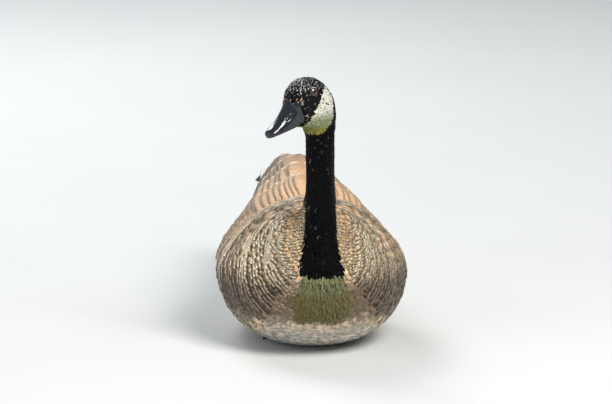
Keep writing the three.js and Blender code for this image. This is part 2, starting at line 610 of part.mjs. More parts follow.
// The foot: three long toes with swollen joints and claws, the web between them and the small hind toe
function footSolid() {
  const thick = FOOT.toeHigh;
  const pieces = TOES.map((toe) => {
    const shares = [0, 0.18, 0.36, 0.46, 0.62, 0.72, 0.86, 0.93, 1.06];
    const swell = [1.1, 0.9, 0.82, 0.95, 0.76, 0.86, 0.66, 0.5, 0.12];
    return lyingTube(shares.map((s) => toeTip(toe, s)), swell.map((k) => [thick * k, thick * k]));
  });
  const fromAnkle = ([x, y]) => [FOOT.ankle[0] + x, FOOT.ankle[1] + y];
  pieces.push(lyingTube([[-5, -2], [-10, 5], [-14, 12]].map(fromAnkle), [[6, 5], [4.5, 4], [0.8, 1]]));
  for (const [a, b] of [[0, 1], [1, 2]]) {
    const rim = new THREE.Shape();
    rim.moveTo(...FOOT.ankle);
    rim.lineTo(...toeTip(TOES[a], 0.9));
    const between = { turn: (TOES[a].turn + TOES[b].turn) / 2, long: (TOES[a].long + TOES[b].long) / 2 };
    const sag = toeTip(between, 0.66);
    rim.quadraticCurveTo(...sag, ...toeTip(TOES[b], 0.9));
    rim.closePath();
    const web = { depth: FOOT.webThick, bevelEnabled: false, curveSegments: 6 };
    pieces.push(solidOf(new THREE.ExtrudeGeometry(rim, web)));
  }
  const knuckle = lyingTube([[0, -9.5], [0, 2.5]].map(fromAnkle), [[10, 8], [11, 9]]);
  return joined([...pieces, knuckle]);
}

// The shank along the floor from the foot back to the hock, and the feathered stub up into the belly
function legSolid() {
  const start = [FOOT.ankle[0], FOOT.ankle[1] + 2.5 + GAP];
  const [hockX, hockY] = LEG.hock;
  const shares = [0, 0.2, 0.46, 0.74];
  const path = shares.map((t) => [mix(start[0], hockX, t), mix(start[1], hockY - 6, t)]);
  path.push([hockX, hockY - 6], [hockX, hockY + 6]);
  const shank = lyingTube(path, [[10, 9], [8.5, 9], [8.2, 9.2], [8.6, 9.6], [12, 12], [9, 9]]);
  const stub = solidOf(new THREE.CylinderGeometry(8.5, 6.5, LEG.stubTop - 4, 16)
    .rotateX(Math.PI / 2).translate(LEG.hock[0], LEG.hock[1] - 2, (LEG.stubTop + 4) / 2));
  return joined([shank, stub]);
}

// The hollow under the belly where the leg and foot lie
function legPocket() {
  const [ankleX, ankleY] = FOOT.ankle;
  const [hockX, hockY] = LEG.hock;
  const [inner, middle, outer] = TOES.map((toe) => toeTip(toe, 1.12));
  const plan = new THREE.Shape([
    [ankleX - 9, ankleY + 16], [ankleX - 17, ankleY + 16], [ankleX - 17, ankleY - 8],
    [inner[0] - 5, inner[1]], [middle[0] - 7, middle[1]], [middle[0] + 7, middle[1]],
    [outer[0] + 5, outer[1]], [ankleX + 9, ankleY + 8],
  ].map(([x, y]) => new THREE.Vector2(x, y)));
  const depth = 40;
  const hollow = new THREE.ExtrudeGeometry(plan, { depth, bevelEnabled: false })
    .translate(0, 0, FOOT.room - depth);
  const stub = new THREE.CylinderGeometry(9, 9, depth, 16).rotateX(Math.PI / 2)
    .translate(hockX, hockY - 2, LEG.stubTop + GAP - depth / 2);
  const long = hockY + 10 - (ankleY - 12);
  const shank = new THREE.BoxGeometry(18, long, depth)
    .translate((ankleX + hockX) / 2, hockY + 10 - long / 2, LEG.room - depth / 2);
  return joined([solidOf(hollow), solidOf(stub), solidOf(shank)]);
}

const mirrored = (solid) => solid.mirror([1, 0, 0]);

const cutSlope = NECK_CUT.slope * DEGREE;
const cutNormal = new THREE.Vector3(0, -Math.sin(cutSlope), Math.cos(cutSlope));
const cutPoint = new THREE.Vector3(...NECK_CUT.point);

function torsoNode(flesh) {
  const pocket = legPocket();
  return flesh
    .intersect(blockUnder(cutPoint, cutNormal, GAP / 2))
    .subtract(joined([wingCore(1, GAP), wingCore(-1, GAP), pocket, mirrored(pocket)]))
    .trimByPlane([0, 0, 1], 0);
}

function neckNode(flesh) {
  return flesh
    .subtract(blockUnder(cutPoint, cutNormal, -GAP / 2))
    .trimByPlane([0, 0, -1], GAP / 2 - HEAD_CUT_Z);
}

const flesh = fleshSolid();
const goose = new THREE.Group();
goose.add(
  meshOf("torso", torsoNode(flesh), buffPlumage),
  meshOf("neck", neckNode(flesh), blackPlumage),
  meshOf("head", headNode(flesh), blackPlumage),
  meshOf("bill_upper", upperBill(), blackHorn),
  meshOf("bill_lower", lowerBill(), blackHorn),
  meshOf("tail", tailNode(), blackPlumage),
);
for (const [word, side] of [["left", 1], ["right", -1]]) {
  const foot = side > 0 ? footSolid() : mirrored(footSolid());
  const leg = side > 0 ? legSolid() : mirrored(legSolid());
  goose.add(
    meshOf(`eye_${word}`, eyeSolid(side), eyeGloss),
    meshOf(`wing_${word}`, wingNode(side), wingPlumage),
    meshOf(`leg_${word}`, leg, footSkin),
    meshOf(`foot_${word}`, foot, footSkin),
  );
}

export default goose;
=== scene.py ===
import bmesh
import bpy
import numpy as np
from bpy.props import FloatProperty, FloatVectorProperty, IntProperty, PointerProperty
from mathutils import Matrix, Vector


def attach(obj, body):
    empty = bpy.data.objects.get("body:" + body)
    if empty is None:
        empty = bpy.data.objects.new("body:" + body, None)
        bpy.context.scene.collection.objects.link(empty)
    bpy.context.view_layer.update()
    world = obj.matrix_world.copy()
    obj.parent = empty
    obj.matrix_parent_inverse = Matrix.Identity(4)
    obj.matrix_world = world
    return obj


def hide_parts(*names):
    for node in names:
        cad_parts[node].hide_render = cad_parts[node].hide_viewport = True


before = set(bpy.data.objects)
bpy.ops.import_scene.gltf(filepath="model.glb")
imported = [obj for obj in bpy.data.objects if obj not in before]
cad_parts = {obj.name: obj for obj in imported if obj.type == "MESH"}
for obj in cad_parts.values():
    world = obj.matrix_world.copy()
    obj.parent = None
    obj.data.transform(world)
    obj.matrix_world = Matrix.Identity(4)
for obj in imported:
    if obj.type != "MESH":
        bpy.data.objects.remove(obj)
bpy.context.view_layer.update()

bl_info = {
    "name": "Canada goose",
    "version": (1, 0, 0),
    "blender": (4, 5, 0),
    "location": "3D View > Sidebar > Goose",
    "description": "A still Canada goose at life size: skin, plumage, bill, eyes, feet and a studio floor",
    "category": "Object",
}

MM = 0.001
FULL = 2 * np.pi

# The bird's outline, the same as the solids': the points of each section's back and front in side view,
# half width, how far up it is widest, roundness of its lower and upper half, share of the head's turn.
# From 0 at the tail's root: 3 hip, 5 girth, 8 breast, 11 collar, 13 neck's flare, 17 neck's top, 20 jowl,
# 23 crown, 27 the bill's base.
SECTIONS = np.array([
    (262, 154, 262, 106, 36, 0.52, 2.2, 1.9, 0),
    (215, 170, 215, 68, 53, 0.51, 2.2, 1.75, 0),
    (160, 179, 160, 28, 70, 0.5, 2.2, 1.55, 0),
    (100, 184, 100, 2, 96, 0.51, 2.2, 1.62, 0),
    (30, 184.5, 30, -4, 117, 0.5, 2.2, 1.72, 0),
    (-45, 183.5, -45, -4, 122.5, 0.5, 2.2, 1.8, 0),
    (-80, 184.5, -100, -1, 120, 0.49, 2.2, 1.85, 0),
    (-103, 186, -150, 11, 110, 0.475, 2.15, 1.9, 0),
    (-118, 188, -190, 33, 96, 0.45, 2.1, 1.95, 0),
    (-127, 190, -217, 60, 79, 0.43, 2.05, 1.95, 0),
    (-133, 193, -232, 86, 62, 0.42, 2, 1.95, 0),
    (-137, 196.5, -237.5, 106, 46, 0.43, 2, 2, 0),
    (-141, 201, -233, 124, 34, 0.47, 2.05, 2.05, 0),
    (-148, 209, -226, 147, 26, 0.5, 2.1, 2.1, 0),
    (-159, 227, -219.5, 181, 21.6, 0.5, 2.15, 2.15, 0.1),
    (-167, 252, -216, 228, 19.7, 0.5, 2.15, 2.15, 0.4),
    (-171, 280, -214, 270, 19.3, 0.5, 2.15, 2.15, 0.85),
    (-172.5, 297, -213, 293, 19.3, 0.5, 2.15, 2.15, 1),
    (-172.5, 313, -214.5, 300, 19.8, 0.5, 2.15, 2.15, 1),
    (-173.5, 330, -217.5, 305, 21, 0.5, 2.15, 2.15, 1),
    (-178, 346, -221, 307.5, 22, 0.5, 2.15, 2.15, 1),
    (-186, 357, -225, 309, 22.2, 0.5, 2.15, 2.15, 1),
    (-196.5, 366.5, -228, 309.6, 21.8, 0.52, 2.15, 2.15, 1),
    (-210, 372, -230.5, 310.1, 21, 0.52, 2.15, 2.15, 1),
    (-226, 371.8, -232.5, 310.5, 20.8, 0.5, 2.15, 2.2, 1),
    (-238.5, 365, -234, 310.9, 19, 0.48, 2.15, 2.3, 1),
    (-245.3, 353.5, -235.2, 311.2, 16.6, 0.46, 2.2, 2.45, 1),
    (-249.4, 342.2, -236, 311.5, 14.2, 0.45, 2.3, 2.7, 1),
])
LAST_SECTION = len(SECTIONS) - 1
SECTION_NUMBERS = np.arange(len(SECTIONS), dtype=float)

# The head turns about the upright axis at this Y. Its own zero lies between the eyes, given as Y and Z
# before the turn, and each eye's centre is given from there: ahead, up and across.
NECK_AXIS_Y = -192.5
HEAD_TURN = np.radians(53)
BETWEEN_EYES = (-219.0, 351.0)
EYE_AT = (0.0, 4.5, 13.4)

# The surface under the folded wing's feathers: Y, half width, top and widest height, roundness
SHEATH = np.array([
    (-45, 117, 184, 88, 1.66),
    (30, 111, 186, 89, 1.56),
    (100, 91, 192, 94, 1.5),
    (150, 71, 193, 106, 1.62),
    (200, 58, 186, 119, 1.75),
    (260, 48, 179, 132, 1.85),
    (320, 37, 173, 142, 1.85),
    (380, 27, 168, 149, 1.85),
])
# The breast's foremost Y, the Y where the bird is broadest, and how much the sheath sinks between them
BREAST_Y = -238.0
GIRTH_Y = -45.0
SHEATH_DROOP = 0.35

# The folded wing's outline in degrees up from the side, as in the solids: Y, lower and upper edge
WING_OUTLINE = np.array([
    (-120, 42, 58), (-112, 33, 65), (-92, 20.5, 74), (-60, 10, 81), (-15, 4, 86),
    (40, 3, 86.5), (90, 3, 86.5), (125, 8, 86), (152, 21, 84),
])

# Tiers of the wing's larger feathers, in the order that they grow: count, the roots' and the tips' first
# and last [Y, degrees], width, lift above the sheath at root and tip, sideways tilt, stacking, tip width.
WING_TIERS = {
    "primaries": (10, (126, 32), (142, 74), (308, 34), (370, 83), 21, (-2, 0.8), 0.8, 0.3, 0.16),
    "secondaries": (13, (58, 11), (100, 50), (172, 15), (248, 52), 19, (0.6, 6.0), 1.5, 0.0, 0.5),
    "tertials": (6, (66, 56), (88, 83), (222, 56), (264, 81), 29, (0.8, 8.8), 1.4, 0.9, 0.5),
    "greater_coverts": (14, (-24, 9), (36, 58), (76, 10), (130, 56), 17, (1.4, 8.4), 1.5, 0.0, 0.5),
    "median_coverts": (15, (-62, 16), (-14, 62), (14, 11), (56, 60), 16, (1.2, 10.0), 1.5, 0.0, 0.5),
    "long_scapulars": (7, (8, 58), (26, 86), (136, 56), (166, 84), 25, (1.6, 12.0), 1.8, 0.5, 0.5),
    "middle_scapulars": (7, (-30, 58), (-18, 86), (88, 56), (112, 85), 24, (1.8, 13.4), 1.8, 0.3, 0.5),
    "short_scapulars": (8, (-66, 56), (-58, 86), (34, 56), (52, 86), 21, (1.6, 14.0), 1.8, 0.2, 0.5),
}

# The stretch of Y that the wing's bulk covers and how deep it goes below the sheath
WING_REACH = (-119, 151)
WING_DEPTH = 7

# Small and long vanes: the rows' shares of the way to the tip, the columns from edge to edge, and a small
# vane's share of its full width at each row, pointed or broad
VANE_ROWS = np.array([0, 0.34, 0.64, 0.86, 1.0])
VANE_COLUMNS = np.array([-1, 0, 1.0])
VANE_SHAPE = np.array([0.45, 0.9, 1.0, 0.78, 0.3])
BROAD_SHAPE = np.array([0.5, 0.95, 1.0, 0.95, 0.8])
LONG_ROWS = np.array([0, 0.15, 0.32, 0.5, 0.66, 0.8, 0.9, 0.965, 1.0])
LONG_COLUMNS = np.array([-1, -0.55, 0, 0.55, 1.0])

# How sharply a small feather may bend, hollow and round, in one over metres
BEND_LIMITS = (-8, 90)
# Feathers ease towards the floor from this height, and the skin stays this far above it
FLOOR_EASE = 0.003
SKIN_CLEARANCE = 0.0006
# How much of the unwrap one feather covers
FEATHER_UV = 0.003

# Half the width of the black column down the front of the neck, in millimetres, by height
SOCK_HEIGHT = np.array([100, 114.5, 129, 139, 149.5, 160, 170, 181, 200, 215, 230])
SOCK_HALF = np.array([37, 35, 31, 28.3, 25.8, 23.6, 21.8, 20.6, 20.6, 22.5, 30])
SOCK_FOOT = 114.5
# Height of the sock's lower edge round the neck at a Y near its back, and its slope from there
COLLAR_HEIGHT = 231
COLLAR_Y = -150
COLLAR_SLOPE = 0.35

# How a feather's grain lies, per millimetre: streaks along and across the slanting barbs, hairs across and
# along the vane, the barbs' ridges, and how far apart the grains of two feathers are taken
BARB_SLANT = 0.9
STREAK_GRAIN = (1.6, 0.12)
HAIR_GRAIN = (1.9, 0.15)
RIDGE_GRAIN = 5.2
GRAIN_APART = 37.0
# How much earlier the tip's colour starts at the vane's edges, how far the hairs fray it, and how far before
# it the bar begins and is full, as shares of the length. The bar's share of the base colour.
TIP_CURVE = 0.05
TIP_FRAY = 0.16
BAR_PLACE = (0.3, 0.06)
BAR_TONE = 0.13
# Where the shaft's colour begins and ends to fade, in millimetres from its middle, and its share of the base
SHAFT_HALF = (0.12, 0.45)
SHAFT_TONE = 0.3

# Finishes of the plumage
FEATHERS = {
    "velvet": {
        "fringe": (0.2, 0.5), "band": 0.1, "streak": 0.35, "shaft": 0.0, "roughness": 0.45, "sheen": 0.0,
        "tip": (1.0, 0.93), "bar": 0.0, "specular": 0.06},
    "face_velvet": {
        "fringe": (0.1, 0.3), "band": 0.0, "streak": 0.3, "shaft": 0.0, "roughness": 0.5, "sheen": 0.0,
        "tip": (0.97, 0.78), "bar": 0.0, "ragged_by": 0.6, "specular": 0.12},
    "breast_feather": {
        "fringe": (0.1, 0.5), "band": 0.08, "streak": 0.4, "shaft": 0.06, "tip": (0.93, 0.86), "bar": 0.95},
    "downy_feather": {
        "fringe": (0.3, 1.4), "band": 0.0, "streak": 0.16, "shaft": 0.0, "tip": (1.0, 0.88), "bar": 0.0},
    "wing_feather": {
        "fringe": (0.7, 1.7), "band": 0.3, "streak": 0.4, "shaft": 0.4, "tip": (0.985, 0.95), "bar": 0.3},
    "flight_feather": {
        "fringe": (0.15, 0.5), "band": 0.1, "streak": 0.3, "shaft": 0.7, "roughness": 0.5,
        "tip": (1.0, 0.99), "bar": 0.0},
}


def length_property(name, description, default, low, high):
    """A length that a user would change."""
    return FloatProperty(
        name=name, description=description, default=default, min=low, max=high, unit="LENGTH")


def colour_property(name, description, default):
    """A colour that a user would change."""
    return FloatVectorProperty(
        name=name, description=description, subtype="COLOR", size=3, default=default, min=0, max=1)


class GooseSizes(bpy.types.PropertyGroup):
    """Sizes of the coat that a user would change"""

    body_coat: length_property(
        "Body coat", "How deep the body's feathers lie over the skin", 0.0065, 0.001, 0.02)
    neck_coat: length_property(
        "Neck coat", "How deep the neck's feathers lie over the skin", 0.0042, 0.0005, 0.01)
    head_coat: length_property(
        "Head coat", "How deep the head's feathers lie over the skin", 0.0014, 0.0003, 0.005)
    breast_row: length_property(
        "Breast rows", "Distance between rows of feathers beside the neck", 0.0044, 0.002, 0.02)
    flank_row: length_property(
        "Flank rows", "Distance between rows of feathers on the flank", 0.0110, 0.004, 0.03)
    neck_row: length_property(
        "Neck rows", "Distance between rows of the neck's small feathers", 0.0029, 0.001, 0.01)
    head_row: length_property(
        "Head rows", "Distance between rows of the head's smallest feathers", 0.0018, 0.001, 0.01)
    seed: IntProperty(name="Seed", description="Start of every random draw", default=7, min=0)


class GooseColours(bpy.types.PropertyGroup):
    """Colours of the plumage and the bare parts"""

    buff: colour_property("Buff", "Breast feathers", (0.80, 0.52, 0.29))
    brown: colour_property("Brown", "Back and wing feathers", (0.32, 0.19, 0.105))
    dusk: colour_property("Dusk", "The darkest brown", (0.055, 0.036, 0.026))
    pale: colour_property("Pale", "Feather fringes", (1.0, 0.85, 0.60))
    cream: colour_property("Cream", "The stained patch under the neck", (0.143, 0.148, 0.064))
    white: colour_property("White", "Cheeks, vent and tail coverts", (0.80, 0.78, 0.70))
    black: colour_property("Black", "Neck, head and tail", (0.0022, 0.0022, 0.0030))
    horn: colour_property("Horn", "The bill", (0.007, 0.008, 0.010))
    iris: colour_property("Iris", "The eye's brown", (0.055, 0.022, 0.010))
    foot: colour_property("Foot", "Skin of legs and feet", (0.03, 0.029, 0.027))


class GooseStage(bpy.types.PropertyGroup):
    """Where the camera stands"""

    azimuth: FloatProperty(
        name="Azimuth", description="Turn of the view about the bird in degrees", default=-4.7,
        min=-180, max=180)
    elevation: FloatProperty(
        name="Elevation", description="How far the view looks down in degrees", default=10.5, min=1, max=80)
    distance: length_property("Distance", "From the camera to the bird", 6.62, 1, 30)
    lens: FloatProperty(name="Lens", description="Focal length in millimetres", default=300, min=20, max=800)


# Surfaces


def through(x, knots, values):
    """Cubic pieces through the knots' values. The slope at a knot is that between its two neighbours."""
    x = np.asarray(x, float)
    last = len(knots) - 1
    before, after = np.maximum(np.arange(last + 1) - 1, 0), np.minimum(np.arange(last + 1) + 1, last)
    wide = (slice(None),) + (None,) * (values.ndim - 1)
    slope = (values[after] - values[before]) / (knots[after] - knots[before])[wide]
    i = np.clip(np.searchsorted(knots, x, side="right") - 1, 0, last - 1)
    span = knots[i + 1] - knots[i]
    t = np.clip((x - knots[i]) / span, 0, 1)
    extra = (Ellipsis,) + (None,) * (values.ndim - 1)
    t, span = t[extra], span[extra]
    ends = (1 + 2 * t) * (1 - t) ** 2 * values[i] + t * t * (3 - 2 * t) * values[i + 1]
    return ends + span * (t * (1 - t) ** 2 * slope[i] - t * t * (1 - t) * slope[i + 1])


def profile(x, table):
    """The columns of a table at x, which its first column holds, as one array for each."""
    return np.moveaxis(through(x, table[:, 0], table[:, 1:]), -1, 0)


def smooth(x, low, high):
    """0 below low, 1 above high, and 3t^2 - 2t^3 between them."""
    t = np.clip((np.asarray(x, float) - low) / (high - low), 0, 1)
    return t * t * (3 - 2 * t)


def turned(across, y, z, turn):
    """A place in the bird's side view, with its distance across, turned about the neck's upright axis."""
    ahead = NECK_AXIS_Y - y
    c, s = np.cos(turn * HEAD_TURN), np.sin(turn * HEAD_TURN)
    return np.stack([across * c - ahead * s, NECK_AXIS_Y - across * s - ahead * c, z], -1) * MM


def flesh(section, angle):
    """The bird's outer surface. In each section a point lies half width times cos^(2/n) across, and
    sin^(2/n) of the way from the widest level to the back (or front) point."""
    back_y, back_z, front_y, front_z, half, widest, low, high, turn = np.moveaxis(
        through(section, SECTION_NUMBERS, SECTIONS), -1, 0)
    c, s = np.cos(angle), np.sin(angle)
    power = 2 / np.where(s > 0, high, low)
    up = np.abs(s) ** power
    level_y, level_z = front_y + (back_y - front_y) * widest, front_z + (back_z - front_z) * widest
    pole_y, pole_z = np.where(s > 0, back_y, front_y), np.where(s > 0, back_z, front_z)
    across = half * np.sign(c) * np.abs(c) ** power
    return turned(across, level_y + (pole_y - level_y) * up, level_z + (pole_z - level_z) * up, turn)


def sheath(y, angle):
    """The surface under the wing's feathers: at each Y, half width times cos^(2/n) and rise times
    sin^(2/n), drawn in towards the breast like an ellipsoid. y in millimetres, angle in radians."""
    forward = np.clip((GIRTH_Y - y) / (GIRTH_Y - BREAST_Y), 0, 0.999)
    half, top, middle, roundness = profile(np.maximum(y, GIRTH_Y), SHEATH)
    c, s = np.cos(angle), np.sin(angle)
    power = 2 / roundness
    across = half * np.sqrt(1 - forward ** 2) * np.sign(c) * np.abs(c) ** power
    rise = (top - middle) * np.sqrt(1 - SHEATH_DROOP * forward ** 2) * np.sign(s) * np.abs(s) ** power
    return np.stack([across, y + 0 * across, middle + rise], -1) * MM


def unit(v):
    """Vectors of length 1, or 0 where they have no direction."""
    return v / np.maximum(np.linalg.norm(v, axis=-1, keepdims=True), 1e-12)


def lie(surface, u, v, step_u, step_v, back=-1):
    """Roots on a surface with the way that feathers lie there. Slopes and bends come from a step each way:
    along is back times the direction of growing u, out is the cross product of the two slopes, and a bend
    is twice the sag under a chord over the square of half the chord."""
    here = surface(u, v)
    ahead, behind = surface(u + step_u, v), surface(u - step_u, v)
    left, right = surface(u, v + step_v), surface(u, v - step_v)
    out = unit(np.cross(left - right, ahead - behind)) * -back
    along = unit((ahead - behind) * back)

    def bend(a, b):
        reach = np.linalg.norm(a - b, axis=-1) / 2
        sag = -np.einsum("ij,ij->i", (a + b) / 2 - here, out)
        return np.clip(sag * 2 / np.maximum(reach, 1e-6) ** 2, *BEND_LIMITS)

    return {"here": here, "along": along, "across": unit(np.cross(out, along)), "out": out,
            "bend_along": bend(ahead, behind), "bend_across": bend(left, right)}


def pick(roots, chosen):
    """The chosen ones of the roots that lie() gives."""
    return {key: values[chosen] for key, values in roots.items()}


def ring_angles(count):
    """Angles all the way round, without the last that would fall on the first."""
    return np.linspace(0, FULL, count + 1)[:-1]


def step_length(section, angle):
    """How far the surface reaches at an angle in a tenth of a section."""
    return np.linalg.norm(flesh(section + 0.05, angle) - flesh(section - 0.05, angle), axis=1)


def thinned(section, angle, widest_at, factor, least, rng):
    """Which roots stay where sections crowd together: each with a chance of factor times the sections'
    distance at its angle over their distance where they stand furthest apart, and least or more."""
    apart = step_length(section, angle) / step_length(section, np.full_like(angle, widest_at))
    return rng.random(len(section)) < np.clip(apart * factor, least, 1)


# Meshes


def grid_faces(ids):
    """Faces of an open grid of point numbers."""
    return np.stack([ids[:-1, :-1], ids[1:, :-1], ids[1:, 1:], ids[:-1, 1:]], -1).reshape(-1, 4)


def tube_faces(rows, columns, closed=False):
    """Faces of a grid that closes on itself sideways, and where closed also lengthways. They face out where
    columns turn left round rows."""
    ids = np.arange(rows * columns).reshape(rows, columns)
    ahead = np.roll(ids, -1, 0)
    faces = np.stack([ids, ahead, np.roll(ahead, -1, 1), np.roll(ids, -1, 1)], -1)
    return faces[:rows if closed else rows - 1].reshape(-1, 4)


def lens_pattern(rows, columns):
    """One vane as a closed lens: an upper and an under grid that share their rim. Gives the under grid's
    inner places and all the faces, with the upper ones facing out."""
    upper = np.arange(rows * columns).reshape(rows, columns)
    under = upper.copy()
    inner = upper[1:-1, 1:-1].ravel()
    under[1:-1, 1:-1] = rows * columns + np.arange(inner.size).reshape(rows - 2, columns - 2)
    return inner, np.concatenate([grid_faces(upper), grid_faces(under)[:, ::-1]])


def add_piece(name, mesh):
    """Puts a mesh into the scene as a piece of the bird."""
    thing = bpy.data.objects.new(name, mesh)
    bpy.context.scene.collection.objects.link(thing)
    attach(thing, "root")
    return thing


def make_mesh(name, points, faces, material):
    """A smooth piece from its points and its faces of four."""
    mesh = bpy.data.meshes.new(name)
    mesh.vertices.add(len(points))
    mesh.vertices.foreach_set("co", np.asarray(points, np.float32).ravel())
    mesh.loops.add(faces.size)
    mesh.loops.foreach_set("vertex_index", faces.astype(np.int32).ravel())
    mesh.polygons.add(len(faces))
    mesh.polygons.foreach_set("loop_start", np.arange(0, faces.size, faces.shape[1], dtype=np.int32))
    mesh.update(calc_edges=True)
    mesh.polygons.foreach_set("use_smooth", np.ones(len(faces), bool))
    mesh.materials.append(material)
    return add_piece(name, mesh)


def tidy(thing, merge=1e-6):
    """Merges doubled points, closes what is open and turns every face outwards."""
    work = bmesh.new()
    work.from_mesh(thing.data)
    bmesh.ops.remove_doubles(work, verts=work.verts, dist=merge)
    bmesh.ops.dissolve_degenerate(work, edges=work.edges, dist=merge * 0.1)
    bmesh.ops.holes_fill(work, edges=work.edges)
    bmesh.ops.recalc_face_normals(work, faces=work.faces)
    for face in work.faces:
        face.smooth = True
    work.to_mesh(thing.data)
    work.free()


def set_vectors(mesh, name, values):
    layer = mesh.attributes.new(name, "FLOAT_VECTOR", "POINT")
    layer.data.foreach_set("vector", np.asarray(values, np.float32).ravel())


def set_colours(mesh, name, values):
    layer = mesh.attributes.new(name, "FLOAT_COLOR", "POINT")
    rgba = np.ones((len(values), 4), np.float32)
    rgba[:, :3] = values
    layer.data.foreach_set("color", rgba.ravel())


# Feathers


def above_floor(height):
    """Heights near the floor eased towards it and never past it: below the ease's start, the start times
    e^(height / start - 1)."""
    return np.where(height < FLOOR_EASE, FLOOR_EASE * np.exp(np.minimum(height / FLOOR_EASE - 1, 0)), height)


def plume_object(name, top, out, thick, length, half, form, colours, draw, root_uv, material):
    """Joins N vanes, given as N x rows x columns points on their upper faces. The under face lies thick
    below the upper one along out, and the rim joins them. form holds the rows, the columns and the width's
    share at each row, and colours the base and the edge of each vane."""
    rows, columns, shape = form
    count = len(top)
    inner, faces = lens_pattern(len(rows), len(columns))
    upper = top.reshape(count, -1, 3)
    lower = upper[:, inner] - out.reshape(count, -1, 3)[:, inner] * thick[:, None, None]
    points = np.concatenate([upper, lower], 1)
    points[..., 2] = above_floor(points[..., 2])
    a, c = [g.ravel() for g in np.meshgrid(rows, columns, indexing="ij")]
    widths = np.repeat(shape, len(columns)) * half[:, None]
    rim = np.minimum((1 - np.abs(c)) * widths, (1 - a) * length[:, None])
    vane = np.stack([a * length[:, None], c * widths, rim], -1) / MM
    share = np.stack(np.broadcast_arrays(a, draw[:, None], c), -1)
    vane, share = [np.concatenate([v, v[:, inner]], 1) for v in (vane, share)]
    each = points.shape[1]
    every = (faces[None] + (np.arange(count) * each)[:, None, None]).reshape(-1, 4)
    thing = make_mesh(name, points.reshape(-1, 3), every, material)
    mesh = thing.data
    set_vectors(mesh, "vane", vane)
    set_vectors(mesh, "share", share)
    for layer, values in zip(("base", "edge"), colours):
        set_colours(mesh, layer, np.repeat(values, each, 0))
    uv = root_uv[:, None] + np.stack([share[..., 0] - 0.5, share[..., 2] * 0.5], -1) * FEATHER_UV
    layer = mesh.uv_layers.new(name="OFBake")
    layer.data.foreach_set("uv", uv.reshape(-1, 2)[every.ravel()].astype(np.float32).ravel())
    return thing


def small_feathers(name, roots, length, width, lift, cup, colours, draw, root_uv, material, sink,
                   skew=None, shape=VANE_SHAPE):
    """Short vanes that follow the surface as a paraboloid: a vertex at (a, c) lies a * length along and
    c * width / 2 * shape(a) across, and rises from -sink at the root to lift at the tip, less the
    surface's own bend and a cup of c^2. skew turns each about its root."""
    a, c = np.meshgrid(VANE_ROWS, VANE_COLUMNS, indexing="ij")
    half = width / 2
    along, across = roots["along"], roots["across"]
    if skew is not None:
        cos, sin = np.cos(skew)[:, None], np.sin(skew)[:, None]
        along, across = along * cos + across * sin, across * cos - along * sin
    length_at, half_at, lift_at, cup_at, bend_along, bend_across = [
        v[:, None, None] for v in (length, half, lift, cup, roots["bend_along"], roots["bend_across"])]
    x = a * length_at
    y = c * shape[:, None] * half_at
    rise = -sink + (lift_at + sink) * (1 - (1 - a) ** 2) - cup_at * c * c * a
    fall = 0.5 * (bend_along * x * x + bend_across * y * y)
    here, along, across, out = [v[:, None, None] for v in (roots["here"], along, across, roots["out"])]
    top = here + along * x[..., None] + across * y[..., None] + out * (rise - fall)[..., None]
    thick = np.clip(width * 0.035, 0.00015, 0.0005)
    return plume_object(name, top, np.broadcast_to(out, top.shape), thick, length, half,
                        (VANE_ROWS, VANE_COLUMNS, shape), colours, draw, root_uv, material)


def rows_on(start, stop, angle, spacing):
    """Section places from start to stop whose distance along the line at this angle follows spacing."""
    fine = np.linspace(start, stop, 1500)
    line = flesh(fine, np.full_like(fine, angle))
    gaps = (spacing(fine[1:]) + spacing(fine[:-1])) / 2
    passed = np.concatenate([[0], np.cumsum(np.linalg.norm(np.diff(line, axis=0), axis=1) / gaps)])
    return np.interp(np.arange(0.5, passed[-1]), passed, fine)


def even(distance):
    """A spacing that is the same everywhere."""
    return lambda section: np.full_like(section, distance)


def scatter(start, stop, angle, row, column, rng, jitter, low=-np.pi / 2, high=1.5 * np.pi):
    """Roots in rows round the body, every other row half a place along, as tiles are laid. row and column
    give the spacing at a section, and jitter is how far a root strays along its row, in spacings."""
    places = rows_on(start, stop, angle, row)
    before, after = np.append(places[0], places[:-1]), np.append(places[1:], places[-1])
    fine = np.linspace(low, high, 721)
    sections, angles = [], []
    for i, place in enumerate(places):
        ring = flesh(np.full_like(fine, place), fine)
        distance = np.concatenate([[0], np.cumsum(np.linalg.norm(np.diff(ring, axis=0), axis=1))])
        whole = distance[-1]
        gap = float(column(np.array([place]))[0])
        number = max(int(whole / gap), 3)
        at = (np.arange(number) + (0.25 if i % 2 else 0.75)) * whole / number
        at = at + rng.normal(0, jitter * gap, number)
        angles.append(np.interp(np.mod(at, whole), distance, fine))
        sections.append(place + rng.normal(0, 0.05, number) * (after[i] - before[i]))
    return np.concatenate(sections), np.concatenate(angles)


def inset(share):
    """A share of the unwrap, kept off its edges."""
    return 0.02 + 0.96 * share


def skin_uv(section, angle):
    """The unwrap of the skin: along the bird, and round it from the belly's middle line."""
    round_it = np.mod(np.asarray(angle) + np.pi / 2, FULL) / FULL
    return np.stack([inset(section / LAST_SECTION), inset(round_it)], -1)


def wing_uv(y, up, side):
    """The unwrap of both wings: along the bird, and up from the middle to either side."""
    return np.stack([inset((y + 130) / 520), 0.5 + side * (0.05 + 0.4 * up)], -1)


# Markings


def side_view(points):
    """Places on the head: along the way it faces, up, and across to its left, in millimetres."""
    c, s = np.cos(HEAD_TURN), np.sin(HEAD_TURN)
    x, y, z = np.moveaxis(points / MM, -1, 0)
    ahead = -(x * s + (y - NECK_AXIS_Y) * c) - (NECK_AXIS_Y - BETWEEN_EYES[0])
    return ahead, z - BETWEEN_EYES[1], x * c - (y - NECK_AXIS_Y) * s


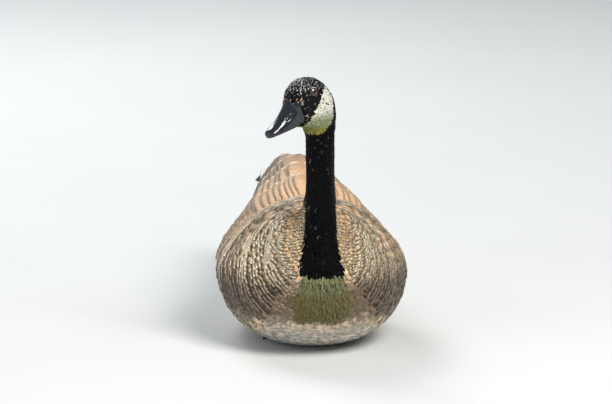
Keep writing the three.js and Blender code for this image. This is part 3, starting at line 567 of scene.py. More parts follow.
def cheek(points):
    """How white the cheek is: 1 between the patch's front and rear edges in side view, round the throat."""
    ahead, up, _ = side_view(points)
    rear = np.interp(up, [-53, -50.5, -45, -37.6, -27, -15.8, -3.5, 3, 7],
                     [-6, -14.2, -20.5, -27.5, -31.4, -32.4, -33.2, -31, -26])
    front = np.interp(up, [-44, -41, -39.6, -31.6, -18.3, -10.6, -1, 5.6, 7.2],
                      [60, 16, 6.3, 4.1, -1.7, -6.1, -10, -17, -24])
    inside = smooth(ahead - rear, -0.8, 0.8) * smooth(front - ahead, -0.8, 0.8)
    return inside * smooth(up, -53.6, -52) * smooth(-up, -8.2, -6.8)


def past_feathers(points):
    """How far a place on the head lies past the line where the feathers end at the bill, in millimetres: the
    line falls to a point over the top of the bill and runs back along each side to the mouth's corner."""
    ahead, up, left = side_view(points)
    brow = np.interp(np.abs(left), [0, 3, 8, 13, 17], [-9.0, -8.5, -7.5, -4.6, -4.0])
    side = np.interp(up, [-44, -40.5, -37.3, -30.1, -18.9, -7.1, -3.4],
                     [21, 17, 14.8, 13.8, 19.5, 22.3, 24.7])
    return np.minimum(brow - up, (ahead - side) * 0.9)


def shown_place(section, angle, length):
    """Where on the surface the open end of a feather is seen: most of its length further down its line."""
    shown = section - 0.8 * length / np.maximum(step_length(section, angle) * 10, 1e-4)
    shown = np.clip(shown, 0, LAST_SECTION)
    return shown, flesh(shown, angle)


def sock(points):
    """How black the neck's sock is: all round the neck above its flare, and a column down the front below
    it, which widens as it goes down and ends level across the breast."""
    x, y, z = np.moveaxis(points / MM, -1, 0)
    off = np.abs(x + 1.6 * smooth(-z, -180, -140))
    front = smooth(z, SOCK_FOOT - 1, SOCK_FOOT + 1) * smooth(-y, 150, 175)
    front = front * smooth(np.interp(z, SOCK_HEIGHT, SOCK_HALF) - off, -0.8, 0.8)
    collar = COLLAR_HEIGHT + COLLAR_SLOPE * (y - COLLAR_Y)
    return np.maximum(front, smooth(z - collar, -1.5, 1.5))


def front_patch(points):
    """How much a place belongs to the olive patch under the sock: bell-shaped, and fading at its rounded
    foot.
    """
    x, y, z = np.moveaxis(points / MM, -1, 0)
    half = np.interp(z, [40, 52, 80, 114], [16, 34, 43, 31])
    return smooth(-y, 165, 205) * smooth(half - np.abs(x), -6, 7) * smooth(-z, -124, -112) * smooth(z, 40, 62)


def mix(a, b, share):
    """Colour a turned into colour b by the share that each row gives."""
    return a * (1 - share[:, None]) + b * share[:, None]


def tones(base, edge, count, rng, spread=0.07):
    """Base and edge colours of a number of feathers, each feather a little lighter or darker."""
    wobble = rng.normal(1, spread, (count, 1))
    return np.clip(base * wobble, 0, 1), np.clip(edge * (0.5 + 0.5 * wobble), 0, 1)


def body_tones(section, angle, points, rng, spread=0.09):
    """Base and fringe colours of the body's feathers, by the section, the angle and the place: buff ahead
    turns brown towards the tail and darker below, each marking then brings its own two colours, and painted
    shade darkens the lower flank."""
    c = bpy.context.scene.goose_colours
    buff, brown, dusk, pale, white, cream, black = [
        np.array(v) for v in (c.buff, c.brown, c.dusk, c.pale, c.white, c.cream, c.black)]
    _, y, z = np.moveaxis(points / MM, -1, 0)
    up = np.sin(angle)
    base = mix(buff, brown, smooth(-section, -7.6, -4.6) * 0.8)
    base = mix(base, dusk, 0.45 * smooth(-section, -7, -4.6) * smooth(-up, -0.3, 0.5))
    edge = mix(pale, buff * 1.25, 0.35 * smooth(-section, -8, -4.5))
    belly = smooth(-up, 0.55, 0.9) * smooth(-section, -9.3, -7.5)
    vent = smooth(-section, -2.9, -2.1) * smooth(-up, -0.45, 0.05)
    rump = smooth(-section, -3.2, -2.4) * smooth(up, 0.0, 0.35)
    coverts = smooth(-section, -0.75, -0.45)
    # Painted shade: the lower flank is darkened towards dusk, low down behind the breast.
    wet = 0.85 * smooth(-z, -128, -92) * smooth(-y, 30, 110) * smooth(z, 38, 66)
    for share, marked, marked_edge in (
            (belly, white * 0.62 + buff * 0.2, white * 0.9), (vent, white, white),
            (rump, dusk * 0.8, dusk * 1.6), (coverts, white, white),
            (wet, dusk * 1.3, buff * 0.22 + dusk * 1.4), (front_patch(points), cream, cream * 1.45),
            (sock(points), black, black * 2)):
        base, edge = mix(base, marked, share), mix(edge, marked_edge, share)
    return tones(base, edge, len(section), rng, spread)


# Materials


def new_material(name, roughness, specular, **sockets):
    """A material with its shader's own sockets set, named with _ for a space."""
    material = bpy.data.materials.new(name)
    material.use_nodes = True
    tree = material.node_tree
    shader = tree.nodes["Principled BSDF"]
    shader.inputs["Roughness"].default_value = roughness
    shader.inputs["Specular IOR Level"].default_value = specular
    for socket, value in sockets.items():
        shader.inputs[socket.replace("_", " ")].default_value = value
    return material, tree, shader


def node(tree, kind, inputs=None, **settings):
    """A new node with its settings, and its inputs linked or set."""
    made = tree.nodes.new(kind)
    for key, value in settings.items():
        setattr(made, key, value)
    for key, value in (inputs or {}).items():
        if isinstance(value, bpy.types.NodeSocket):
            tree.links.new(value, made.inputs[key])
        else:
            made.inputs[key].default_value = value
    return made


def calc(tree, operation, *values):
    """A sum on numbers or sockets."""
    return node(tree, "ShaderNodeMath", dict(enumerate(values)), operation=operation).outputs[0]


def times(tree, a, b):
    return calc(tree, "MULTIPLY", a, b)


def plus(tree, a, b):
    return calc(tree, "ADD", a, b)


def ramp(tree, value, low, high, to_low=0.0, to_high=1.0):
    """A smooth step of value from low to high, between to_low and to_high."""
    made = node(tree, "ShaderNodeMapRange", {
        "Value": value, "From Min": low, "From Max": high, "To Min": to_low, "To Max": to_high},
        interpolation_type="SMOOTHSTEP")
    return made.outputs["Result"]


def blend_colours(tree, factor, a, b):
    """Colour a turned into colour b by factor. Each is a socket or three numbers."""
    made = node(tree, "ShaderNodeMix", {"Factor": factor}, data_type="RGBA")
    for socket, value in (("A", a), ("B", b)):
        target = [s for s in made.inputs if s.name == socket and s.type == "RGBA"][0]
        if isinstance(value, bpy.types.NodeSocket):
            tree.links.new(value, target)
        else:
            target.default_value = (*value, 1)
    return [s for s in made.outputs if s.type == "RGBA"][0]


def scaled(tree, colour, scale):
    return node(tree, "ShaderNodeVectorMath", {0: colour, "Scale": scale}, operation="SCALE").outputs[0]


def attribute(tree, name, output="Vector"):
    return node(tree, "ShaderNodeAttribute", attribute_name=name).outputs[output]


def own_place(tree):
    """The place in the piece's own coordinates."""
    return node(tree, "ShaderNodeTexCoord").outputs["Object"]


def vector(tree, x, y, z=0.0):
    return node(tree, "ShaderNodeCombineXYZ", {"X": x, "Y": y, "Z": z}).outputs[0]


def noise(tree, place, scale, detail):
    made = node(tree, "ShaderNodeTexNoise", {"Vector": place, "Scale": scale, "Detail": detail})
    return made.outputs["Fac"]


def add_colour(tree, shader, colour):
    tree.links.new(colour, shader.inputs["Base Color"])


def add_bump(tree, shader, height, strength, distance):
    made = node(tree, "ShaderNodeBump", {"Strength": strength, "Distance": distance, "Height": height})
    tree.links.new(made.outputs[0], shader.inputs["Normal"])


def feather_material(name, fringe, band, streak, shaft, tip, bar, roughness=0.62, sheen=0.1, bump=0.35,
                     ragged_by=1.8, shows=(0.3, 0.62), specular=0.2):
    """Vane colours from the feather's own places: base colour, streaked along its barbs and darker towards
    the rim, with the fringe's colour on the rim and on the last part of the way to the tip, a dark bar
    across it before that, and a thin shaft down the middle."""
    material, tree, shader = new_material(name, roughness, specular, Sheen_Weight=sheen, Sheen_Roughness=0.5)
    long, wide, rim = node(tree, "ShaderNodeSeparateXYZ", {"Vector": attribute(tree, "vane")}).outputs
    part, draw, beside = node(tree, "ShaderNodeSeparateXYZ", {"Vector": attribute(tree, "share")}).outputs
    base, edge = attribute(tree, "base", "Color"), attribute(tree, "edge", "Color")
    off = calc(tree, "ABSOLUTE", wide)
    barb = calc(tree, "SUBTRACT", long, times(tree, off, BARB_SLANT))
    apart = times(tree, draw, GRAIN_APART)
    along_barb = vector(tree, times(tree, barb, STREAK_GRAIN[0]), times(tree, off, STREAK_GRAIN[1]), apart)
    streaks = noise(tree, along_barb, 1.0, 3.0)
    across_vane = vector(tree, times(tree, wide, HAIR_GRAIN[0]), times(tree, long, HAIR_GRAIN[1]), apart)
    hairs = noise(tree, across_vane, 1.0, 3.0)
    frayed = calc(tree, "SUBTRACT", hairs, 0.5)

    # The rim's colour, which shows only on the open part of the feather, and the shade inside it
    ragged = plus(tree, rim, times(tree, frayed, ragged_by))
    tipward = ramp(tree, part, *shows)
    rimmed = times(tree, calc(tree, "SUBTRACT", 1.0, ramp(tree, ragged, *fringe)), tipward)
    beyond = ramp(tree, ragged, fringe[1] * 1.2, fringe[1] * 2.8, 1.0, 0.0)
    shade = times(tree, times(tree, beyond, tipward), band)

    # The tip's colour and the bar before it
    curve = times(tree, times(tree, beside, beside), TIP_CURVE)
    way = plus(tree, plus(tree, part, curve), times(tree, frayed, TIP_FRAY))
    tipped = ramp(tree, way, tip[1], tip[0])
    across = times(tree, ramp(tree, way, tip[1] - BAR_PLACE[0], tip[1] - BAR_PLACE[1]), bar)

    tone = ramp(tree, streaks, 0.25, 0.75, 1 - streak, 1 + streak * 0.8)
    toned = scaled(tree, scaled(tree, base, tone), ramp(tree, hairs, 0.3, 0.7, 1 - streak, 1 + streak * 0.6))
    barred = blend_colours(tree, calc(tree, "MAXIMUM", shade, across), toned, scaled(tree, base, BAR_TONE))
    line = times(tree, ramp(tree, off, *SHAFT_HALF, 1.0, 0.0), shaft)
    shafted = blend_colours(tree, line, barred, scaled(tree, base, SHAFT_TONE))
    pale = scaled(tree, edge, ramp(tree, hairs, 0.3, 0.7, 1 - streak * 0.8, 1.05))
    add_colour(tree, shader, blend_colours(tree, calc(tree, "MAXIMUM", rimmed, tipped), shafted, pale))
    ridges = calc(tree, "SINE", times(tree, barb, RIDGE_GRAIN))
    add_bump(tree, shader, plus(tree, times(tree, ridges, 0.25), times(tree, hairs, 1.6)), bump, 0.0006)
    return material


def feather_kinds():
    """The plumage's materials, made once."""
    return {name: bpy.data.materials.get(name) or feather_material(name, **finish)
            for name, finish in FEATHERS.items()}


def skin_material():
    """Down under the feathers, in the colour of the plumage over it, mottled and softly rough."""
    material, tree, shader = new_material("down", 0.9, 0.1)
    tufts = noise(tree, own_place(tree), 420.0, 4.0)
    tone = ramp(tree, tufts, 0.3, 0.7, 0.55)
    add_colour(tree, shader, scaled(tree, attribute(tree, "base", "Color"), tone))
    add_bump(tree, shader, tufts, 0.6, 0.001)
    return material


def down_material(name, dark, light):
    """Matt down mottled between two colours."""
    material, tree, shader = new_material(name, 0.9, 0.1)
    tufts = noise(tree, own_place(tree), 300.0, 4.0)
    add_colour(tree, shader, blend_colours(tree, ramp(tree, tufts, 0.3, 0.7), dark, light))
    return material


def horn_material():
    """Black horn with a soft polish, faint growth lines along the bill and small scuffs."""
    horn = np.array(bpy.context.scene.goose_colours.horn)
    material, tree, shader = new_material("bill_horn", 0.2, 0.2, Coat_Weight=0.75, Coat_Roughness=0.1)
    # The coat's blue tint is a painted reflection of the sky on the black horn.
    shader.inputs["Coat Tint"].default_value = (0.78, 0.88, 1.0, 1)
    place = own_place(tree)
    grain, broad = noise(tree, place, 260.0, 5.0), noise(tree, place, 60.0, 3.0)
    add_colour(tree, shader, blend_colours(tree, ramp(tree, broad, 0.35, 0.7), horn, horn * 2))
    tree.links.new(ramp(tree, grain, 0.3, 0.75, 0.1, 0.28), shader.inputs["Roughness"])
    add_bump(tree, shader, plus(tree, times(tree, grain, 0.4), broad), 0.35, 0.0008)
    return material


def eye_material():
    """A black pupil, a brown iris with fine spokes and a dark rim, under a clear wet coat."""
    iris = np.array(bpy.context.scene.goose_colours.iris)
    material, tree, shader = new_material(
        "wet_eye", 0.12, 0.5, Coat_Weight=1.0, Coat_Roughness=0.02, Coat_IOR=1.38)
    away, spoke, _ = node(tree, "ShaderNodeSeparateXYZ", {"Vector": attribute(tree, "gaze")}).outputs
    spokes = noise(tree, vector(tree, times(tree, spoke, 26.0), away), 1.0, 2.0)
    warm = blend_colours(tree, ramp(tree, spokes, 0.3, 0.7), iris * 0.45, np.minimum(iris * 1.9, 1))
    ringed = blend_colours(tree, ramp(tree, away, 38.0, 46.0), warm, (0.006, 0.004, 0.003))
    pupil = ramp(tree, away, 25.0, 27.0, 1.0, 0.0)
    add_colour(tree, shader, blend_colours(tree, pupil, ringed, (0.001, 0.001, 0.001)))
    return material


def scale_material(name, colour, scale, roughness):
    """Bare skin in small rounded scales, paler on their crowns and creased between them."""
    material, tree, shader = new_material(name, roughness, 0.4)
    cells = node(tree, "ShaderNodeTexVoronoi", {"Vector": own_place(tree), "Scale": scale},
                 feature="DISTANCE_TO_EDGE")
    crease = ramp(tree, cells.outputs["Distance"], 0.02, 0.16)
    colour = np.array(colour)
    add_colour(tree, shader, blend_colours(tree, crease, colour * 0.35, np.minimum(colour * 1.5, 1)))
    add_bump(tree, shader, crease, 0.7, 0.0006)
    return material


def random_draws(offset):
    """A row of random draws of its own for each piece."""
    return np.random.default_rng(bpy.context.scene.goose_sizes.seed + offset)


# Pieces


class GOOSE_OT_skin(bpy.types.Operator):
    """One skin for body, neck and head, a coat's depth inside the solids"""

    bl_idname = "goose.skin"
    bl_label = "Skin"

    def execute(self, context):
        sizes, colours = context.scene.goose_sizes, context.scene.goose_colours
        rows, columns = 330, 120
        u, v = [g.ravel() for g in np.meshgrid(
            np.linspace(0, LAST_SECTION, rows), ring_angles(columns), indexing="ij")]
        roots = lie(flesh, np.clip(u, 0.02, LAST_SECTION - 0.02), v, 0.02, 0.03)
        depth = np.interp(u, [0, 9, 13.5, 17, 21, 26.3, 27],
                          [sizes.body_coat, sizes.body_coat, sizes.neck_coat * 1.3, sizes.neck_coat,
                           sizes.head_coat, sizes.head_coat * 0.7, sizes.head_coat * 0.5])
        surface = flesh(u, v)
        points = surface - roots["out"] * depth[:, None]
        points[:, 2] = np.maximum(points[:, 2], SKIN_CLEARANCE)
        ends = points.reshape(rows, columns, 3)[[0, -1]].mean(1)
        ids = np.arange(rows * columns).reshape(rows, columns)
        turn = np.roll(ids, -1, 1)
        sides = np.stack([ids[1:], turn[1:], turn[:-1], ids[:-1]], -1).reshape(-1, 4)
        first, last = np.full(columns, rows * columns), np.full(columns, rows * columns + 1)
        caps = np.concatenate([
            np.stack([ids[0], turn[0], first], -1), np.stack([turn[-1], ids[-1], last], -1)])
        mesh = bpy.data.meshes.new("skin")
        mesh.from_pydata(np.concatenate([points, ends]).tolist(), [], sides.tolist() + caps.tolist())
        mesh.polygons.foreach_set("use_smooth", np.ones(len(mesh.polygons), bool))
        mesh.materials.append(skin_material())
        base, _ = body_tones(u, v, surface, random_draws(0), 0.02)
        base = mix(base, np.array(colours.white) * 0.8, cheek(surface) * smooth(u, 17.5, 18))
        set_colours(mesh, "base", np.concatenate([base, base[:1], [tuple(colours.black)]]))
        thing = add_piece("skin", mesh)
        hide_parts("torso", "neck", "head")
        return {"FINISHED"}


def grid_shell(name, outer, inner, material):
    """A closed slab between two like grids, joined round their rims."""
    rows, columns = outer.shape[:2]
    count = rows * columns
    ids = np.arange(count).reshape(rows, columns)
    top = grid_faces(ids)
    rim = np.concatenate([ids[0, :-1], ids[:-1, -1], ids[-1, :0:-1], ids[:0:-1, 0]])
    after = np.roll(rim, -1)
    walls = np.stack([rim, after, after + count, rim + count], -1)
    faces = np.concatenate([top, top[:, ::-1] + count, walls])
    return make_mesh(name, np.concatenate([outer, inner]).reshape(-1, 3), faces, material)


def wing_bulk(side):
    """The folded wing under its coverts: the outline's stretch of the sheath, swelling outwards, and the
    same stretch a wing's depth further in."""
    y, v = np.meshgrid(np.linspace(*WING_REACH, 50), np.linspace(0, 1, 36), indexing="ij")
    low, high = profile(y, WING_OUTLINE)
    angle = np.radians(low + (high - low) * v)
    out = lie(sheath, y.ravel(), angle.ravel(), 1.0, 0.01, back=1)["out"].reshape(*y.shape, 3)
    here = sheath(y, angle)
    swell = np.interp(y, [-120, -90, -15, 90, 151], [0.5, 2.2, 4.2, 2.6, 0.2])[..., None]
    shells = [here + out * swell * MM, here - out * WING_DEPTH * MM]
    for shell in shells:
        shell[..., 0] *= side
    return shells if side > 0 else [shell[:, ::-1] for shell in shells]


def long_feathers(name, tier, side, colours, rng, material, thick):
    """Long vanes laid on the sheath: from root to tip in Y and angle, each across by its width, lifted by
    1 - (1 - s)^2 of the way from the root's to the tip's height, and tilted so that each lies on the next."""
    count, first_root, last_root, first_tip, last_tip, width, lift, tilt, stack, point = tier
    shape = np.interp(LONG_ROWS, [0, 0.15, 0.5, 0.66, 0.8, 0.9, 0.965, 1],
                      [0.5, 0.8, 1, 1, 0.93, 0.55 + 0.45 * point, 0.25 + 0.6 * point, 0.5 * point])
    number = np.arange(count)
    share = number / (count - 1)
    root_y, root_angle = [a + (b - a) * share for a, b in zip(first_root, last_root)]
    tip_y, tip_angle = [a + (b - a) * share for a, b in zip(first_tip, last_tip)]
    tip_y = tip_y + rng.normal(0, 3.4, count)
    tip_angle = tip_angle + rng.normal(0, 0.6, count)
    half = width / 2 * (1 + rng.normal(0, 0.04, count))
    uneven = rng.normal(0, 0.25, count)
    draw = rng.random(count)

    s, c = LONG_ROWS[None, :, None], LONG_COLUMNS[None, None, :]
    starts_y, starts_angle, ends_y, ends_angle, half_at, stack_at, uneven_at = [
        v[:, None, None] for v in (root_y, root_angle, tip_y, tip_angle, half, stack * number, uneven)]
    y = starts_y * (1 - s) + ends_y * s + 0 * c
    middle = starts_angle * (1 - s) + ends_angle * s + 0 * c
    degree = sheath(y, np.radians(middle + 0.5)) - sheath(y, np.radians(middle - 0.5))
    angle = middle + c * shape[None, :, None] * half_at / (np.linalg.norm(degree, axis=-1) / MM)
    flat = lie(sheath, y.ravel(), np.radians(np.minimum(angle, 89)).ravel(), 1.0, 0.01, back=1)
    out = flat["out"].reshape(*y.shape, 3)
    height = lift[0] + (lift[1] - lift[0]) * (1 - (1 - s) ** 2)
    height = height - c * tilt * np.minimum(1, 3 * s) + stack_at * s - 1.1 * c * c * s + uneven_at
    top = sheath(y, np.radians(angle)) + out * height[..., None] * MM
    top[..., 0] *= side
    out = out * np.array([side, 1, 1])
    if side < 0:
        top, out = top[:, :, ::-1], out[:, :, ::-1]
    return plume_object(name, top, out, np.full(count, thick), (tip_y - root_y) * MM, half * MM,
                        (LONG_ROWS, LONG_COLUMNS, shape), colours, draw,
                        wing_uv(root_y, root_angle / 90, side), material)


class GOOSE_OT_wings(bpy.types.Operator):
    """Both folded wings: the bulk under the coverts and every tier of large feathers"""

    bl_idname = "goose.wings"
    bl_label = "Wings"

    def execute(self, context):
        c = context.scene.goose_colours
        kinds = feather_kinds()
        down = down_material("wing_down", c.dusk, c.brown)
        buff, brown, dusk, pale, black = [np.array(v) for v in (c.buff, c.brown, c.dusk, c.pale, c.black)]
        plan = {
            "primaries": (black * 2.5, dusk, "flight_feather", 0.0011),
            "secondaries": (dusk * 0.8, brown * 0.8, "flight_feather", 0.0011),
            "tertials": (brown * 0.75, pale * 0.8, "wing_feather", 0.0008),
            "greater_coverts": (brown * 0.9, pale * 0.9, "wing_feather", 0.0008),
            "median_coverts": (brown * 1.05, pale * 0.9, "wing_feather", 0.0008),
            "long_scapulars": (brown * 1.15, pale * 0.85, "wing_feather", 0.0008),
            "middle_scapulars": (brown * 1.3 + buff * 0.15, pale * 0.9, "wing_feather", 0.0008),
            "short_scapulars": (brown + buff * 0.35, pale * 0.9, "wing_feather", 0.0008),
        }
        lesser = brown * 0.9 + buff * 0.3, pale * 0.95
        for word, side in (("left", 1), ("right", -1)):
            bulk = grid_shell(f"wing_bulk_{word}", *wing_bulk(side), down)
            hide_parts(f"wing_{word}")
            for number, (tier, (base, edge, kind, thick)) in enumerate(plan.items()):
                rng = random_draws(100 + number * 2 + (side > 0))
                colours = tones(base, edge, WING_TIERS[tier][0], rng)
                long_feathers(f"{tier}_{word}", WING_TIERS[tier], side, colours, rng, kinds[kind], thick)
            self.lesser_coverts(word, side, kinds["wing_feather"], lesser)
        return {"FINISHED"}

    def lesser_coverts(self, word, side, material, colours):
        """Small feathers on the wing's front, in rows along the sheath"""
        rng = random_draws(200 + side)
        y, v = np.meshgrid(np.arange(-112, -22, 8.5), np.linspace(0.03, 0.97, 15), indexing="ij")
        v = v + (np.arange(len(y)) % 2)[:, None] * 0.03
        low, high = profile(y, WING_OUTLINE)
        angle = np.radians(low + (np.minimum(high, 66) - low) * v).ravel()
        y = (y + rng.normal(0, 0.7, y.shape)).ravel()
        roots = lie(sheath, y, angle, 2.0, 0.03, back=1)
        if side < 0:
            for key in ("here", "along", "across", "out"):
                roots[key] = roots[key] * np.array([-1, 1, 1])
            roots["across"] = -roots["across"]
        back = smooth(y, -120, -60)
        length, width, lift = (20 + 14 * back) * MM, (12 + 8 * back) * MM, (4.2 + 4.0 * back) * MM
        colours = tones(*colours, len(y), rng)
        small_feathers(f"lesser_coverts_{word}", roots, length, width, lift, np.full(len(y), 0.0012), colours,
                       rng.random(len(y)), wing_uv(y, angle / 1.6, side), material, sink=-0.0005)


def covered_by_wing(points, margin):
    """Whether a place on the body lies well under the folded wing, by its Y and its angle on the sheath."""
    x, y, z = np.moveaxis(points / MM, -1, 0)
    low, _ = profile(np.clip(y, -120, WING_REACH[1]), WING_OUTLINE)
    half, top, middle, _ = profile(np.maximum(y, GIRTH_Y), SHEATH)
    angle = np.degrees(np.arctan2(np.maximum(z - middle, 0) / (top - middle), np.abs(x) / half))
    front = -112 + margin + 22 * smooth(angle, 45, 65)
    return (y > front) & (y < 148) & (angle > low + margin * 0.4) & (z > middle)


class GOOSE_OT_body_coat(bpy.types.Operator):
    """The small feathers of breast, mantle, flanks, belly and rump"""

    bl_idname = "goose.body_coat"
    bl_label = "Body coat"

    def execute(self, context):
        sizes = context.scene.goose_sizes
        kinds = feather_kinds()
        rng = random_draws(1)

        def row(section):
            return np.interp(section, [0, 2, 4, 6, 8, 9.5, 11, 14], [
                0.0065, 0.0075, sizes.flank_row, 0.0085, 0.0062, 0.0052, sizes.breast_row, sizes.breast_row])

        def column(section):
            return row(section) * 1.15

        t, angle = scatter(0.15, 14.6, 0.0, row, column, rng, 0.13)
        count, size, up = len(t), row(t), np.sin(angle)
        roots = lie(flesh, t, angle, 0.06, 0.05)
        length = (size * 2.9 + 0.008) * (1 + 0.12 * smooth(-t, -7, -5) - 0.4 * smooth(t, 11.5, 13))
        length = length * rng.normal(1, 0.04, count)
        width = size * (2.9 - 0.5 * smooth(t, 11, 13)) * rng.normal(1, 0.06, count)
        seen, ends = shown_place(t, angle, length)
        keep = thinned(t, angle, 0.0, 1.25, 0.3, rng) & (sock(ends) < 0.5)
        keep &= (front_patch(ends) < rng.uniform(0.3, 0.7, count)) & ~covered_by_wing(roots["here"], 16)
        base, edge = body_tones(seen, angle, ends, rng)
        shoulder = smooth(-t, -8.5, -6.5) * smooth(t, 4.6, 5.6) * smooth(up, -0.3, 0.3)
        mantle = shoulder * smooth(up, 0.7, 0.95)
        lift = 0.0004 + 0.0035 * shoulder + 0.003 * mantle - 0.0016 * smooth(t, 12.3, 13.5)
        lift = lift + rng.normal(0, 0.0002, count)
        draw, skew, uv = rng.random(count), rng.normal(0, 0.07, count), skin_uv(t, angle)
        plain = (up < -0.62) | (t < 2.6)
        for name, part, kind in (("breast_and_flanks", keep & ~plain, "breast_feather"),
                                 ("belly_and_rump", keep & plain, "downy_feather")):
            small_feathers(name, pick(roots, part), length[part], width[part], lift[part],
                           width[part] * 0.015, (base[part], edge[part]), draw[part], uv[part], kinds[kind],
                           sink=sizes.body_coat * 0.6, skew=skew[part], shape=BROAD_SHAPE)
        self.patch(sizes, kinds["downy_feather"])
        return {"FINISHED"}

    def patch(self, sizes, material):
        """The olive patch where the sock ends, of narrow hair-like feathers, yellower lower down"""
        rng = random_draws(2)
        t, angle = scatter(7.0, 12.6, -np.pi / 2, even(0.0030), even(0.0022), rng, 0.3,
                           low=-np.pi / 2 - 1.4, high=-np.pi / 2 + 1.4)
        count = len(t)
        length = rng.normal(0.0145, 0.0016, count)
        seen, ends = shown_place(t, angle, length)
        keep = (front_patch(ends) >= rng.uniform(0.2, 0.6, count)) & (sock(ends) < 0.5)
        base, edge = body_tones(seen, angle, ends, rng, 0.13)
        yellow = 0.75 * smooth(-ends[:, 2] / MM, -100, -84)
        base = mix(base, np.array([0.088, 0.062, 0.005]), yellow)
        edge = mix(edge, np.array([0.14, 0.105, 0.012]), yellow)
        roots = lie(flesh, t, angle, 0.06, 0.05)
        width, lift = rng.normal(0.0034, 0.0005, count), rng.normal(0.0006, 0.0004, count)
        kept = keep.sum()
        draw, skew = rng.random(kept), rng.normal(0, 0.13, kept)
        small_feathers("breast_patch", pick(roots, keep), length[keep], width[keep], lift[keep],
                       np.full(kept, 0.0002), (base[keep], edge[keep]), draw, skin_uv(t, angle)[keep],
                       material, sink=sizes.body_coat * 0.5, skew=skew)


class GOOSE_OT_neck_coat(bpy.types.Operator):
    """The neck's black velvet of small feathers"""

    bl_idname = "goose.neck_coat"
    bl_label = "Neck coat"

    def execute(self, context):
        sizes, c = context.scene.goose_sizes, context.scene.goose_colours
        rng = random_draws(3)
        t, angle = scatter(9.9, 18.6, 0.0, even(sizes.neck_row), even(sizes.neck_row * 0.72), rng, 0.25)
        count = len(t)
        length = rng.normal(0.0098, 0.0009, count)
        roots = lie(flesh, t, angle, 0.05, 0.08)
        x, y, z = np.moveaxis(roots["here"] / MM, -1, 0)
        # Along the column's edges the feathers are shorter and narrower, and hang straight down
        beside = smooth(np.abs(x) - np.interp(z, SOCK_HEIGHT, SOCK_HALF), -7, -2) * smooth(-y, 150, 165)
        beside = beside * smooth(-z, -190, -170)
        length = length * (1 - 0.45 * beside)
        across_x = roots["across"][:, 0]
        plumb = -np.sign(across_x) * np.arctan2(roots["along"][:, 0], np.abs(across_x))
        _, ends = shown_place(t, angle, length)
        keep = (sock(ends) >= 0.5) & (cheek(ends) * smooth(t, 17, 17.3) < 0.5)
        keep &= thinned(t, angle, 0.0, 1.5, 0.25, rng)
        black = np.array(c.black)
        base, edge = tones(black, black * 2.2, count, rng, 0.25)
        # Painted highlights: a few feathers get white edges for light glinting on water drops.
        drop_glints = rng.random(count) < 0.025
        edge[drop_glints] = np.array(c.white) * rng.random((drop_glints.sum(), 1)) ** 2 * 0.9
        lift = -0.0022 * smooth(t, 13.6, 15.5) * smooth(-t, -18.6, -16.5) + rng.normal(0, 0.00012, count)
        width = rng.normal(0.0034, 0.0003, count) * (1 - 0.3 * beside)
        kept = keep.sum()
        draw = rng.random(kept)
        skew = rng.normal(0, 0.05, kept) + (np.clip(plumb, -0.8, 0.8) * beside)[keep]
        small_feathers("neck_feathers", pick(roots, keep), length[keep], width[keep], lift[keep],
                       np.full(kept, 0.0002), (base[keep], edge[keep]), draw, skin_uv(t, angle)[keep],
                       feather_kinds()["velvet"], sink=sizes.neck_coat * 0.8, skew=skew)
        return {"FINISHED"}


